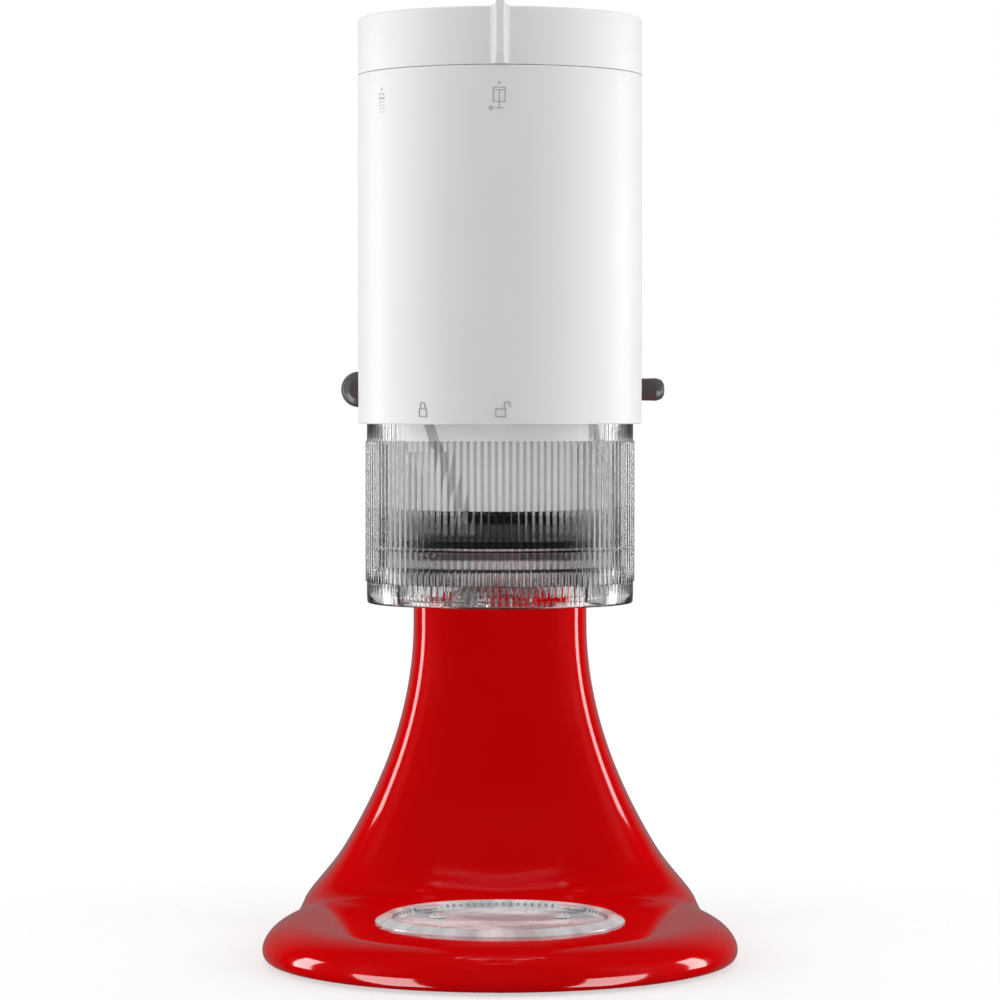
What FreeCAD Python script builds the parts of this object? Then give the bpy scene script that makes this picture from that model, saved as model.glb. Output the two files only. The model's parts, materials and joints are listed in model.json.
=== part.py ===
"""Shaved ice machine: a tilt-head stand with a motor, and an ice shaver that plugs into its front hub.

Units are millimetres and +Z is up. The origin is on the table, under the axis of the bowl clamp plate.
The front of the machine faces -Y. The ice shaver's own axis is vertical and stands in front of the head.
Every function makes one sub-part, and main() writes each to parts/NODE.step.
"""
import FreeCAD
import Part
import math
import os

V = FreeCAD.Vector
X, Y, Z = V(1, 0, 0), V(0, 1, 0), V(0, 0, 1)

# Overall sizes
REACH = 228.5            # from the origin to the foremost and the rearmost point
BASE_RADIUS = 110.5      # the round front of the base
BASE_REAR = 186.0
REAR_HALF = 97.0         # half width of the base under the column
DECK_Z = 19.0            # the flat top of the base
FOOT_HEIGHT = 1.5
CASTING_WALL = 4.0

# Column and hinge
NECK_HALF = 43.0
NECK_FRONT, NECK_REAR = 90.0, 172.0
NECK_TOP = 252.0
FLARE_TOP = 150.0        # below this height the column flares out to the base
FLARE_HALF, FLARE_FRONT, FLARE_REAR = 61.5, 34.0, 12.0    # how far it would flare at the table
PIN_Y, PIN_Z = 150.0, 204.0
PIN_R = 6.0
STOP_Y = 104.0           # the stop screw the head rests on
LUG_HALF = 24.0
LUG_GAP = 0.5
HEAD_GAP = 1.5

# Head
HUB_Z = 291.0            # height of the hub axis
HUB_FACE = -88.0
HEAD_WALL = 3.5
TRIM_LOW, TRIM_HIGH = 272.0, 280.0
# y, centre height, half height, half width of the head's cross sections
HEAD_SECTIONS = [(HUB_FACE, 291, 31, 33), (-78, 290.5, 43, 43), (-50, 290, 56, 52), (0, 290, 62, 58),
                 (60, 290.5, 62.5, 59), (125, 290.5, 62, 58), (172, 293, 57, 54), (206, 296, 46, 44),
                 (224, 298, 30, 29)]
HEAD_POWER = 2.4         # squareness of a cross section, where 2 is an ellipse
SOCKET_R = 17.5          # bore of the hub socket
SOCKET_LENGTH = 40.0

# Gears: number of teeth
CROWN_T, BEVEL_T = 48, 16
MOTOR_T, REDUCTION_T, REDUCTION_M = 12, 40, 1.0
RING_T, BEATER_T, RING_M = 48, 16, 1.5
DRUM_T, POWER_T = 48, 12
CROWN_R = 32.0           # outer pitch radius of the head's crown gear
DRUM_GEAR_R = 53.0       # outer pitch radius of the drum's crown gear
MOTOR_Z = HUB_Z + (MOTOR_T + REDUCTION_T) * REDUCTION_M / 2
MOTOR_FRONT, MOTOR_REAR = 78.0, 162.0
LAY_WALLS = (43.8, 61.5)    # front faces of the walls that carry the lay shaft
STATOR_R = 30.0
BEATER_OFFSET = (RING_T - BEATER_T) * RING_M / 2
BEATER_X = -15.0
BEATER_Y = -math.sqrt(BEATER_OFFSET ** 2 - BEATER_X ** 2)

# Ice shaver
ICE_Y = -165.0           # its axis
HOUSING_R, HOUSING_WALL = 60.0, 2.8
HOUSING_LOW, LID_LOW, LID_TOP, BAR_TOP = 251.0, 398.0, 421.6, 424.0
CUP_R, CUP_WALL = 56.2, 2.2
CUP_LOW, CUP_TOP = 175.5, 257.0
RIB_LOW, RIB_HIGH, RIB_COUNT, RIB_DEPTH = 184.5, 244.0, 120, 0.6
DRUM_R, DRUM_WALL = 47.0, 2.5
DRUM_LOW, DRUM_TOP = 215.0, 322.0
PLATE_Z = 200.0          # underside of the blade plate
PRESS_Z, PRESS_THICK = 300.0, 8.0
SPRING_TOP = 412.0


def at(x=0.0, y=0.0, z=0.0):
    return V(x, y, z)


def cyl(r, length, base, axis=Z):
    return Part.makeCylinder(r, length, base, axis)


def tube(r_out, r_in, length, base, axis=Z):
    return cyl(r_out, length, base, axis).cut(cyl(r_in, length + 2, base - axis, axis))


def block(low, high):
    return Part.makeBox(high.x - low.x, high.y - low.y, high.z - low.z, low)


def fuse(shapes):
    shapes = list(shapes)
    return shapes[0].multiFuse(shapes[1:]) if len(shapes) > 1 else shapes[0]


def turned(points, base, axis=Z):
    """A solid of revolution. points are (radius, height along axis) and close on themselves."""
    face = Part.Face(Part.makePolygon([V(r, 0, h) for r, h in points + points[:1]]))
    solid = face.revolve(V(0, 0, 0), Z, 360)
    solid.Placement = FreeCAD.Placement(base, FreeCAD.Rotation(Z, axis))
    return solid


def around(shape, count, base, axis=Z, first=0.0):
    """Copies of shape, evenly spaced about an axis."""
    copies = []
    for i in range(count):
        one = shape.copy()
        one.rotate(base, axis, first + 360.0 * i / count)
        copies.append(one)
    return copies


def closed_spline(points):
    curve = Part.BSplineCurve()
    curve.interpolate(Points=points, PeriodicFlag=True)
    return Part.Wire(curve.toShape())


# ---- base and column -------------------------------------------------------------------------------

def flare_share(z):
    """How far down the flare a height is, from 0 at its top to 1 at the table."""
    return max(0.0, FLARE_TOP - z) / FLARE_TOP


def column_half_width(z):
    """Half width of the column at height z: straight at the neck, and a trumpet flare to the base."""
    return NECK_HALF + FLARE_HALF * flare_share(z) ** 1.95


def column_front(z):
    return NECK_FRONT - FLARE_FRONT * flare_share(z) ** 4.2


def column_rear(z):
    return NECK_REAR + FLARE_REAR * flare_share(z) ** 2


def column_section(z, inset):
    half = column_half_width(z) - inset
    front, rear = column_front(z) + inset, column_rear(z) - inset
    middle, depth = (front + rear) / 2, (rear - front) / 2
    power = 2 / 3.0
    points = []
    for i in range(32):
        a = 2 * math.pi * i / 32
        c, s = math.cos(a), math.sin(a)
        points.append(V(half * math.copysign(abs(c) ** power, c),
                        middle + depth * math.copysign(abs(s) ** power, s), z))
    return closed_spline(points)


def column_solid(inset, low, high):
    levels = [low] + [z for z in (15, 20, 28, 38, 52, 70, 92, 118, 146, 180, 215) if low < z < high] + [high]
    return Part.makeLoft([column_section(z, inset) for z in levels], True, False)


def base_outline(inset, z):
    """The plan of the base: a round front about the origin, and a squarer rear."""
    r = BASE_RADIUS - inset
    half, rear, side = REAR_HALF - inset, BASE_REAR - inset, 110.0
    deep = side + 0.78 * (rear - side)
    wide = 0.78 * half
    arc = Part.Arc(V(r, 0, z), V(0, -r, z), V(-r, 0, z)).toShape()
    edges = [arc]
    for poles in ([(-r, 0), (-r, side * 0.5), (-half, side * 0.6), (-half, side)],
                  [(-half, side), (-half, deep), (-wide, rear), (0, rear)],
                  [(0, rear), (wide, rear), (half, deep), (half, side)],
                  [(half, side), (half, side * 0.6), (r, side * 0.5), (r, 0)]):
        curve = Part.BezierCurve()
        curve.setPoles([V(x, y, z) for x, y in poles])
        edges.append(curve.toShape())
    return Part.Wire(edges)


def base_slab(inset, low, high):
    return Part.Face(base_outline(inset, low)).extrude(V(0, 0, high - low))


def rounded_slab():
    """The base's outer form, with a large round on its upper rim and a small one under it."""
    levels = [(3.2, FOOT_HEIGHT), (0.6, FOOT_HEIGHT + 2.0), (0.0, FOOT_HEIGHT + 4.5), (1.6, 10.0),
              (4.4, 13.5), (8.0, 16.4), (13.0, 18.4), (20.0, DECK_Z)]
    return Part.makeLoft([base_outline(inset, z) for inset, z in levels], True, False)


def hinge_clearance(grow):
    """What the head's underside sweeps as it turns about the hinge pin."""
    points = [V(x, PIN_Y, head_underside(x) - grow) for x in range(-52, 53, 4)]
    curve = Part.BSplineCurve()
    curve.interpolate(points)
    wire = Part.Wire([curve.toShape(), Part.makeLine(points[-1], V(52, PIN_Y, PIN_Z)),
                      Part.makeLine(V(52, PIN_Y, PIN_Z), V(-52, PIN_Y, PIN_Z)),
                      Part.makeLine(V(-52, PIN_Y, PIN_Z), points[0])])
    return Part.Face(wire).revolve(V(0, PIN_Y, PIN_Z), X, 360)


def head_underside(x):
    _, middle, half_height, half_width = HEAD_SECTIONS[5]
    return middle - half_height * (1 - (abs(x) / half_width) ** HEAD_POWER) ** (1 / HEAD_POWER)


def base_casting():
    slab = rounded_slab()
    column = column_solid(0, 11.0, NECK_TOP)
    front = block(at(-60, 0, 100), at(60, PIN_Y, NECK_TOP + 1))
    low = block(at(-120, -10, 0), at(120, 240, PIN_Z))
    column = column.common(fuse([front, low, hinge_clearance(HEAD_GAP)]))
    column = column.cut(head_solid(-HEAD_GAP))
    whole = slab.fuse(column)
    hollow = base_slab(CASTING_WALL + 4, 0, DECK_Z - CASTING_WALL - 3)
    hollow = hollow.fuse(column_solid(CASTING_WALL + 1.5, 11.0, 176))
    whole = whole.cut(hollow)
    slot = block(at(-LUG_HALF - LUG_GAP, PIN_Y - 19, PIN_Z - 17), at(LUG_HALF + LUG_GAP, 200, NECK_TOP))
    whole = whole.cut(slot)
    whole = whole.cut(cyl(PIN_R, 120, at(-60, PIN_Y, PIN_Z), X))
    top = stop_screw_top()
    whole = whole.cut(cyl(2.5, 26, at(0, STOP_Y, top - 25.5))).cut(cyl(5, 30, at(0, STOP_Y, top - 3.1)))
    pocket = cyl(58.6, 10, at(0, 0, DECK_Z - 3))
    screws = fuse(around(cyl(1.7, 12, at(34, 0, DECK_Z - 11)), 3, at(), Z, 30))
    return whole.cut(pocket).cut(screws)


def foot_places():
    return [(-78, -42), (78, -42), (0, -90), (-58, 150), (58, 150)]


def rubber_feet():
    foot = turned([(0, 0), (8, 0), (9, 0.8), (9, 9), (6, 12), (0, 12)], at())
    floor = DECK_Z - CASTING_WALL - 3
    feet = []
    for x, y in foot_places():
        one = foot.copy()
        one.translate(at(x, y, 0))
        feet.append(one.common(block(at(-200, -200, 0), at(200, 240, floor))))
    return Part.makeCompound(feet)


def clamp_plate():
    """The round plate that a bowl locks into: a sloped rim, a dished floor and bayonet cut-outs."""
    z = DECK_Z - 3
    profile = [(0, 0), (58.2, 0), (58.2, 3.2), (53.5, 5.6), (51.5, 5.6), (50.0, 4.6), (49.6, 2.2), (30, 1.6),
               (0, 1.6)]
    plate = turned(profile, at(0, 0, z))
    tab = block(at(43.5, -7, z + 3.6), at(51.0, 7, z + 5.2)).common(cyl(51.0, 20, at(0, 0, z)))
    plate = plate.fuse(around(tab, 4, at(), Z, 45))
    holes = fuse(around(cyl(2.1, 20, at(34, 0, z - 5)), 3, at(), Z, 30))
    return plate.cut(holes)


def clamp_screws():
    seat = DECK_Z - 1.15
    head = turned([(0, 0), (3.6, 0), (3.6, 0.8), (2.0, 2.0), (0, 2.0)], at(34, 0, seat))
    shank = cyl(1.7, 7.5, at(34, 0, seat - 7.4))
    screw = head.fuse(shank).cut(block(at(33.4, -4, seat + 1.0), at(34.6, 4, seat + 4)))
    return Part.makeCompound(around(screw, 3, at(), Z, 30))


def hinge_pin():
    half = NECK_HALF - 1.0
    pin = cyl(PIN_R - 0.03, 2 * half, at(-half, PIN_Y, PIN_Z), X)
    dimple = cyl(1.6, 2, at(7 - half, PIN_Y, PIN_Z - PIN_R))
    return pin.cut(dimple)


def stop_screw_top():
    return head_underside(0) - 1.4


def height_screw():
    """The stop screw in the column's top, which sets how low the head rests."""
    top = stop_screw_top()
    screw = cyl(2.4, 23, at(0, STOP_Y, top - 25)).fuse(cyl(4.5, 3, at(0, STOP_Y, top - 3)))
    return screw.cut(block(at(-5, STOP_Y - 0.5, top - 1), at(5, STOP_Y + 0.5, top + 1)))


# ---- head ------------------------------------------------------------------------------------------

def head_section(y, middle, half_height, half_width, inset):
    a_step = 2 * math.pi / 28
    power = 2 / HEAD_POWER
    points = []
    for i in range(28):
        c, s = math.cos(i * a_step), math.sin(i * a_step)
        points.append(V((half_width - inset) * math.copysign(abs(c) ** power, c), y,
                        middle + (half_height - inset) * math.copysign(abs(s) ** power, s)))
    return closed_spline(points)


def head_solid(inset):
    sections = [head_section(*s, inset) for s in HEAD_SECTIONS]
    if inset > 0:
        first, last = list(HEAD_SECTIONS[0]), list(HEAD_SECTIONS[-1])
        first[0] += inset
        last[0] -= inset
        middle = HEAD_SECTIONS[2:-1]
        sections = [head_section(*s, inset) for s in [tuple(first)] + middle + [tuple(last)]]
    return Part.makeLoft(sections, True, False)


def head_shell():
    return head_solid(0).cut(head_solid(HEAD_WALL))


def slice_z(shape, low, high):
    return shape.common(block(at(-150, -260, low), at(150, 260, high)))


def lever_slot(side, y_low, y_high):
    x = side * 58
    low, high = min(x - 12, x + 12), max(x - 12, x + 12)
    return block(at(low, y_low, 263.4), at(high, y_high, 268.6))


def gearcase():
    shell = slice_z(head_shell(), 200, TRIM_LOW)
    skirt = tube(44, 41.2, 24, at(0, 0, 213))
    skirt_top = cyl(43, 4, at(0, 0, 233)).cut(cyl(9, 8, at(0, 0, 231)))
    beater_way = cyl(41.2, 20, at(0, 0, 213))
    lug = cyl(16, 2 * LUG_HALF, at(-LUG_HALF, PIN_Y, PIN_Z), X)
    web = block(at(-LUG_HALF, PIN_Y - 15, PIN_Z), at(LUG_HALF, PIN_Y + 15, head_underside(0) + 3))
    bridge = tube(14, 9, 22, at(0, 0, 237))
    whole = shell.cut(beater_way).fuse([skirt, skirt_top, bridge, lug, web] + motor_saddles())
    whole = whole.cut(cyl(PIN_R + 0.05, 60, at(-30, PIN_Y, PIN_Z), X))
    whole = whole.cut(lever_slot(-1, 8, 62)).cut(lever_slot(1, 30, 62))
    whole = whole.cut(cyl(27, 40, at(0, 210, 298), Y))
    return whole.cut(cyl(SOCKET_R + 5.1, 60, at(0, HUB_FACE - 10, HUB_Z), Y))


def motor_shell():
    shell = slice_z(head_shell(), TRIM_HIGH, 360)
    shell = shell.cut(cyl(SOCKET_R + 5.1, 60, at(0, HUB_FACE - 10, HUB_Z), Y))
    shell = shell.cut(cyl(27, 40, at(0, 210, 298), Y))
    return shell.cut(cyl(4.1, 40, at(30, HUB_FACE + 22, HUB_Z), X))


def trim_band():
    grown = head_solid(-0.7).cut(head_solid(HEAD_WALL - 0.5))
    band = slice_z(grown, TRIM_LOW, TRIM_HIGH)
    band = band.cut(cyl(SOCKET_R + 5.1, 60, at(0, HUB_FACE - 10, HUB_Z), Y))
    return band.cut(cyl(27, 40, at(0, 210, 298), Y))


def rear_cover():
    """The vented cap on the back of the head."""
    depth = REACH - 212
    cap = turned([(0, 0), (26.8, 0), (26.8, 12.5), (23.5, depth), (0, depth)], at(0, 212, 298), Y)
    cap = cap.cut(cyl(22, 11, at(0, 211, 298), Y))
    slots = []
    for row in range(-3, 4):
        half = math.sqrt(19.5 ** 2 - (row * 5.0) ** 2)
        slots.append(block(at(-half, 205, 298 + row * 5.0 - 1), at(half, 240, 298 + row * 5.0 + 1)))
    post = cyl(4.5, REACH - 213, at(0, 212, 298), Y)
    cap = cap.cut(Part.makeCompound(slots)).fuse(post)
    return cap.cut(cyl(2, 40, at(0, 205, 298), Y)).cut(cyl(3.7, 4, at(0, REACH - 1, 298), Y))


def rear_screw():
    screw = cyl(1.95, 19.6, at(0, 208, 298), Y).fuse(cyl(3.6, 1.4, at(0, REACH - 1, 298), Y))
    return screw.common(block(at(-9, 200, 280), at(9, REACH, 310)))


def hub_socket():
    """The front socket that holds an attachment's stub, with a hole for the clamp knob."""
    low = HUB_FACE - 2
    end = SOCKET_LENGTH + 4
    profile = [(SOCKET_R, 0), (26, 0), (26, 2.0), (22.5, 2.0), (22.5, end), (9.5, end), (9.5, SOCKET_LENGTH),
               (SOCKET_R, SOCKET_LENGTH)]
    body = turned(profile, at(0, low, HUB_Z), Y)
    boss = cyl(8, 24, at(20, HUB_FACE + 22, HUB_Z), X)
    boss = boss.cut(cyl(22.4, 60, at(0, low, HUB_Z), Y)).common(block(at(0, -100, 250), at(38, 0, 320)))
    return body.fuse(boss).cut(cyl(4.0, 40, at(10, HUB_FACE + 22, HUB_Z), X))


def attachment_knob():
    """The clamp screw for attachments, backed off so its tip just clears the stub."""
    base = at(0, HUB_FACE + 22, HUB_Z)
    shaft = cyl(3.95, 36, base + V(SOCKET_R + 1.7, 0, 0), X)
    tip = turned([(0, 0), (2.2, 0), (3.95, 1.4), (0, 1.4)], base + V(SOCKET_R + 0.3, 0, 0), X)
    profile = [(0, 0), (6.5, 0), (9.6, 2.4), (10.2, 6), (9.0, 9.4), (6.0, 10.8), (0, 11)]
    knob = turned(profile, base + V(50.8, 0, 0), X)
    grips = fuse(around(cyl(1.7, 20, base + V(48, 11.1, 0), X), 10, base, X))
    return fuse([shaft, tip, knob.cut(grips)])


def motor_stator():
    length = MOTOR_REAR - MOTOR_FRONT - 24
    body = tube(STATOR_R, 20, length, at(0, MOTOR_FRONT + 12, MOTOR_Z), Y)
    windings = fuse([tube(27, 21, 6, at(0, MOTOR_FRONT + 6, MOTOR_Z), Y),
                     tube(27, 21, 6, at(0, MOTOR_REAR - 12, MOTOR_Z), Y)])
    return body.fuse(windings)


def motor_bearings():
    rings = [tube(9, 4.05, 6, at(0, y, MOTOR_Z), Y) for y in (MOTOR_FRONT - 8, MOTOR_REAR + 2)]
    return Part.makeCompound(rings)


def motor_frame():
    """Two end brackets that carry the motor's bearings."""
    plates = []
    for y in (MOTOR_FRONT - 8, MOTOR_REAR + 2):
        plate = cyl(29, 3, at(0, y + 1.5, MOTOR_Z), Y).cut(cyl(9.02, 9, at(0, y - 2, MOTOR_Z), Y))
        plates.append(plate)
    rods = [cyl(2, MOTOR_REAR - MOTOR_FRONT + 7, at(s * 25.2, MOTOR_FRONT - 5, MOTOR_Z + 12.5), Y)
            for s in (-1, 1)]
    gap = cyl(STATOR_R + 0.2, MOTOR_REAR - MOTOR_FRONT - 24, at(0, MOTOR_FRONT + 12, MOTOR_Z), Y)
    gap = gap.fuse(cyl(27.2, MOTOR_REAR - MOTOR_FRONT - 10, at(0, MOTOR_FRONT + 5, MOTOR_Z), Y))
    return Part.makeCompound(plates + [r.cut(gap).Solids[0] for r in rods])


# ---- gears -----------------------------------------------------------------------------------------

def tooth_ring(teeth, root, tip, share, phase):
    """A closed gear outline as (x, y) points. share is the tooth's share of the circular pitch."""
    points = []
    step = 2 * math.pi / teeth
    for i in range(teeth):
        for r, k in ((root, -1.35), (tip, -0.55), (tip, 0.55), (root, 1.35)):
            a = phase + i * step + k * share * step / 2
            points.append((r * math.cos(a), r * math.sin(a)))
    return points


def placed_phase(place, toward, teeth, gap):
    """The angle in a gear's own plane that puts a tooth, or a gap, in the direction toward."""
    local = place.Rotation.inverted().multVec(toward)
    return math.atan2(local.y, local.x) + (math.pi / teeth if gap else 0.0)


def spur(teeth, module, width, base, axis, bore, toward, gap=False, share=0.42):
    place = FreeCAD.Placement(base, FreeCAD.Rotation(Z, axis))
    pitch = teeth * module / 2
    ring = tooth_ring(teeth, pitch - 1.15 * module, pitch + 0.8 * module, share,
                      placed_phase(place, toward, teeth, gap))
    wire = Part.makePolygon([V(x, y, 0) for x, y in ring + ring[:1]])
    gear = Part.Face(wire).extrude(V(0, 0, width))
    gear = gear.cut(cyl(bore, width + 2, at(0, 0, -1)))
    gear.Placement = place
    return gear


def bevel(teeth, mate, radius, face, apex, axis, bore, back, toward, gap=False, share=0.40):
    """A straight bevel gear whose pitch cone has its point at apex. axis points from apex to the gear."""
    place = FreeCAD.Placement(apex, FreeCAD.Rotation(Z, axis))
    phase = placed_phase(place, toward, teeth, gap)
    far = radius * mate / teeth
    keep = 1 - face / math.hypot(radius, far)
    module = 2 * radius / teeth
    lean = math.atan2(teeth, mate)
    step = 2 * math.pi / teeth
    big = []
    for i in range(teeth):
        for depth, k in ((-0.95, -1.35), (0.75, -0.55), (0.75, 0.55), (-0.95, 1.35)):
            r = radius + depth * module * math.cos(lean)
            a = phase + i * step + k * share * step / 2
            big.append(V(r * math.cos(a), r * math.sin(a), far - depth * module * math.sin(lean)))
    small = [p * keep for p in big]
    faces = [Part.Face(Part.makePolygon([big[i], big[i - 1], small[i - 1], small[i], big[i]]))
             for i in range(len(big))]
    for ring in (big, small):
        roots = [p for k, p in enumerate(ring) if k % 4 in (0, 3)]
        faces.append(Part.Face(Part.makePolygon(roots + roots[:1])))
        for t in range(teeth):
            tooth = ring[4 * t:4 * t + 4]
            faces.append(Part.Face(Part.makePolygon(tooth + tooth[:1])))
    gear = Part.Solid(Part.makeShell(faces))
    if gear.Volume < 0:
        gear.reverse()
    root = big[0]
    gear = gear.fuse(cyl(math.hypot(root.x, root.y) * 0.98, back, at(0, 0, root.z)))
    gear = gear.cut(cyl(bore, 4 * radius + 4 * far, at(0, 0, -2 * (radius + far))))
    gear.Placement = place
    return gear


def crown_gear():
    return bevel(CROWN_T, BEVEL_T, CROWN_R, 8, at(0, 0, HUB_Z), -Z, 7, 4, -Y)


def bevel_radius():
    return CROWN_R * BEVEL_T / CROWN_T


def drive_pinion():
    return bevel(BEVEL_T, CROWN_T, bevel_radius(), 8, at(0, 0, HUB_Z), Y, 5, 4, -Z, gap=True)


def hub_pinion():
    return bevel(BEVEL_T, CROWN_T, bevel_radius(), 8, at(0, 0, HUB_Z), -Y, 5, 4, -Z, gap=True)


def lay_shaft():
    return cyl(5, 44, at(0, 24, HUB_Z), Y)


def reduction_gear():
    return spur(REDUCTION_T, REDUCTION_M, 8, at(0, 51, HUB_Z), Y, 5, Z)


def motor_pinion():
    return spur(MOTOR_T, REDUCTION_M, 9, at(0, 50.5, MOTOR_Z), Y, 3, -Z, gap=True)


def armature_shaft():
    return fuse([cyl(4, MOTOR_REAR - MOTOR_FRONT + 26, at(0, MOTOR_FRONT - 13, MOTOR_Z), Y),
                 cyl(3, 17, at(0, 50, MOTOR_Z), Y)])


def armature_core():
    core = tube(19.4, 4, MOTOR_REAR - MOTOR_FRONT - 30, at(0, MOTOR_FRONT + 15, MOTOR_Z), Y)
    slot = cyl(1.4, 90, at(0, MOTOR_FRONT, MOTOR_Z + 18.6), Y)
    core = core.cut(fuse(around(slot, 12, at(0, 0, MOTOR_Z), Y)))
    return core.fuse(tube(11, 4, 9, at(0, MOTOR_REAR - 15.5, MOTOR_Z), Y))


def cooling_fan():
    base = at(0, MOTOR_REAR + 9.4, MOTOR_Z)
    hub = tube(8, 4, 6, base, Y)
    blade = block(at(-0.8, base.y, MOTOR_Z + 7), at(0.8, base.y + 6, MOTOR_Z + 21))
    return hub.fuse(around(blade, 9, base, Y))


def gear_frame():
    """Cross walls in the head that carry the lay shaft, in the gearcase's own shape."""
    inside = head_solid(HEAD_WALL + 0.2)
    walls = []
    for y in LAY_WALLS:
        wall = block(at(-14, y, 200), at(14, y + 4.5, HUB_Z + 12)).common(inside)
        walls.append(wall.cut(cyl(8.0, 20, at(0, y - 5, HUB_Z), Y)))
    return Part.makeCompound(walls)


def lay_bushes():
    return Part.makeCompound([tube(8.0, 5.04, 4.5, at(0, y, HUB_Z), Y) for y in LAY_WALLS])


def motor_saddles():
    """The saddles under the motor, cast with the gearcase."""
    inside = head_solid(HEAD_WALL - 0.5)
    saddles = []
    for y in (96.0, 132.0):
        one = block(at(-20, y, 200), at(20, y + 10, MOTOR_Z - 8)).common(inside)
        saddles.append(one.cut(cyl(STATOR_R + 0.05, 30, at(0, y - 8, MOTOR_Z), Y)))
    return saddles


def centre_shaft():
    return cyl(7, 76, at(0, 0, 206), Z)


def centre_bush():
    return tube(9, 7.04, 22, at(0, 0, 237))


def planet_ring():
    """The fixed internal gear that makes the beater shaft turn as it goes round."""
    pitch = RING_T * RING_M / 2
    angle = math.atan2(BEATER_Y, BEATER_X)
    ring = tooth_ring(RING_T, pitch - 0.8 * RING_M, pitch + 1.15 * RING_M, 0.62, angle)
    hole = Part.Face(Part.makePolygon([V(x, y, 0) for x, y in ring + ring[:1]])).extrude(V(0, 0, 14))
    hole.translate(at(0, 0, 214))
    return cyl(41.2, 10, at(0, 0, 216)).cut(hole)


def planet_carrier():
    profile = [(7, 0), (34, 0), (38.4, 3), (38.4, 9.2), (10, 9.2), (10, 28.5), (7, 28.5)]
    disc = turned(profile, at(0, 0, 204))
    boss = cyl(10.5, 12, at(BEATER_X, BEATER_Y, 193))
    boss = boss.fuse(cyl(9.6, 2.6, at(BEATER_X, BEATER_Y, 213.2)))
    centre = cyl(7, 50, at(0, 0, 200))
    return disc.fuse(boss).cut(centre).cut(cyl(6.54, 60, at(BEATER_X, BEATER_Y, 180)))


def drip_ring():
    return turned([(39.4, 0), (42.5, 0), (44.6, 1.6), (44.6, 5), (39.4, 5)], at(0, 0, 208))


def beater_pinion():
    direction = V(BEATER_X, BEATER_Y, 0)
    return spur(BEATER_T, RING_M, 9, at(BEATER_X, BEATER_Y, 216.5), Z, 6.5, direction)


def beater_shaft():
    shaft = cyl(6.5, 62, at(BEATER_X, BEATER_Y, 168.5))
    tip = turned([(0, 0), (5.3, 0), (6.5, 1.5), (0, 1.5)], at(BEATER_X, BEATER_Y, 167))
    cross = cyl(1.7, 21, at(BEATER_X - 10.5, BEATER_Y, 173), X)
    return fuse([shaft, tip, cross])


def coil(radius, pitch, height, wire, base, steps=14, sides=8):
    """A helical spring of round wire, lofted with steps sections to a turn."""
    turns = height / pitch
    count = round(turns * steps)
    sections = []
    for i in range(count + 1):
        a = 2 * math.pi * turns * i / count
        corners = []
        for k in range(sides):
            b = 2 * math.pi * k / sides
            r, z = radius + wire * math.cos(b), height * i / count + wire * math.sin(b)
            corners.append(base + V(r * math.cos(a), r * math.sin(a), z))
        sections.append(Part.makePolygon(corners + corners[:1]))
    return Part.makeLoft(sections, True, True)


def beater_spring():
    return coil(7.9, 2.6, 10.4, 0.7, at(BEATER_X, BEATER_Y, 180.6))


def beater_washer():
    return tube(9.4, 6.5, 1.4, at(BEATER_X, BEATER_Y, 178.2))


def hub_shaft():
    drum = cyl(9.4, 12.3, at(0, -49.5, HUB_Z), Y)
    drum = drum.cut(block(at(-5.2, -60, HUB_Z - 5.2), at(5.2, -38.6, HUB_Z + 5.2)))
    return drum.fuse(cyl(5, 13.5, at(0, -37.4, HUB_Z), Y))


def speed_lever():
    strip = block(at(-64, 16, 264), at(-46, 24, 268))
    return strip.fuse(block(at(-48, 12, 259), at(-45, 30, 271)))


def speed_knob():
    """A flattened ball that faces forward, with a shallow flat on its front."""
    profile = [(0, -6.2), (5.6, -6.2), (7.6, -4.2), (8.5, 0), (7.6, 4.2), (5.6, 6.2), (0, 6.2)]
    knob = turned(profile, at(-66.3, 20, 266), Y)
    return knob.cut(block(at(-64, 16, 264), at(-46, 24, 268)))


def lock_lever():
    strip = block(at(46, 38, 264), at(66, 46, 268))
    return strip.fuse(block(at(45, 33, 259), at(48, 51, 271)))


def lock_knob():
    profile = [(0, 0), (5.4, 0), (5.4, 13.5), (4.6, 16), (2.6, 17.6), (0, 18)]
    knob = turned(profile, at(60.4, 42, 266), X)
    return knob.cut(block(at(46, 38, 264), at(66, 46, 268)))


def cord_gland():
    """The bush at the back of the head where the mains lead enters."""
    profile = [(3.6, 0), (8, 0), (8, 2), (6, 3), (6, 8), (3.6, 8)]
    gland = turned(profile, at(26, 215.5, 263), -Y)
    return gland.cut(head_solid(0)).Solids[0]


# ---- ice shaver ------------------------------------------------------------------------------------

def ice(z):
    return at(0, ICE_Y, z)


def main_housing():
    inner, height = HOUSING_R - HOUSING_WALL, LID_LOW - HOUSING_LOW - 0.4
    wall = turned([(inner, 0), (HOUSING_R - 0.8, 0), (HOUSING_R, 0.8), (HOUSING_R, height), (inner, height)],
                  ice(HOUSING_LOW))
    ledge = tube(inner + 0.5, DRUM_R + 1.2, 4, ice(262))
    tabs = tube(inner + 0.5, CUP_R + 0.15, 1.6, ice(HOUSING_LOW + 0.4)).common(sectors(4, 26, 0))
    mouth = cyl(20, 12, at(0, ICE_Y + 52, HUB_Z), Y)
    return wall.fuse([ledge, tabs]).cut(mouth)


def sectors(count, width, first):
    """Wedges about the ice shaver's axis, each width degrees wide, tall enough for any part of it."""
    wedges = []
    for i in range(count):
        wedge = Part.makeCylinder(80, 300, ice(150), Z, width)
        wedge.rotate(ice(0), Z, first + 360.0 * i / count - width / 2)
        wedges.append(wedge)
    return fuse(wedges)


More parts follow.
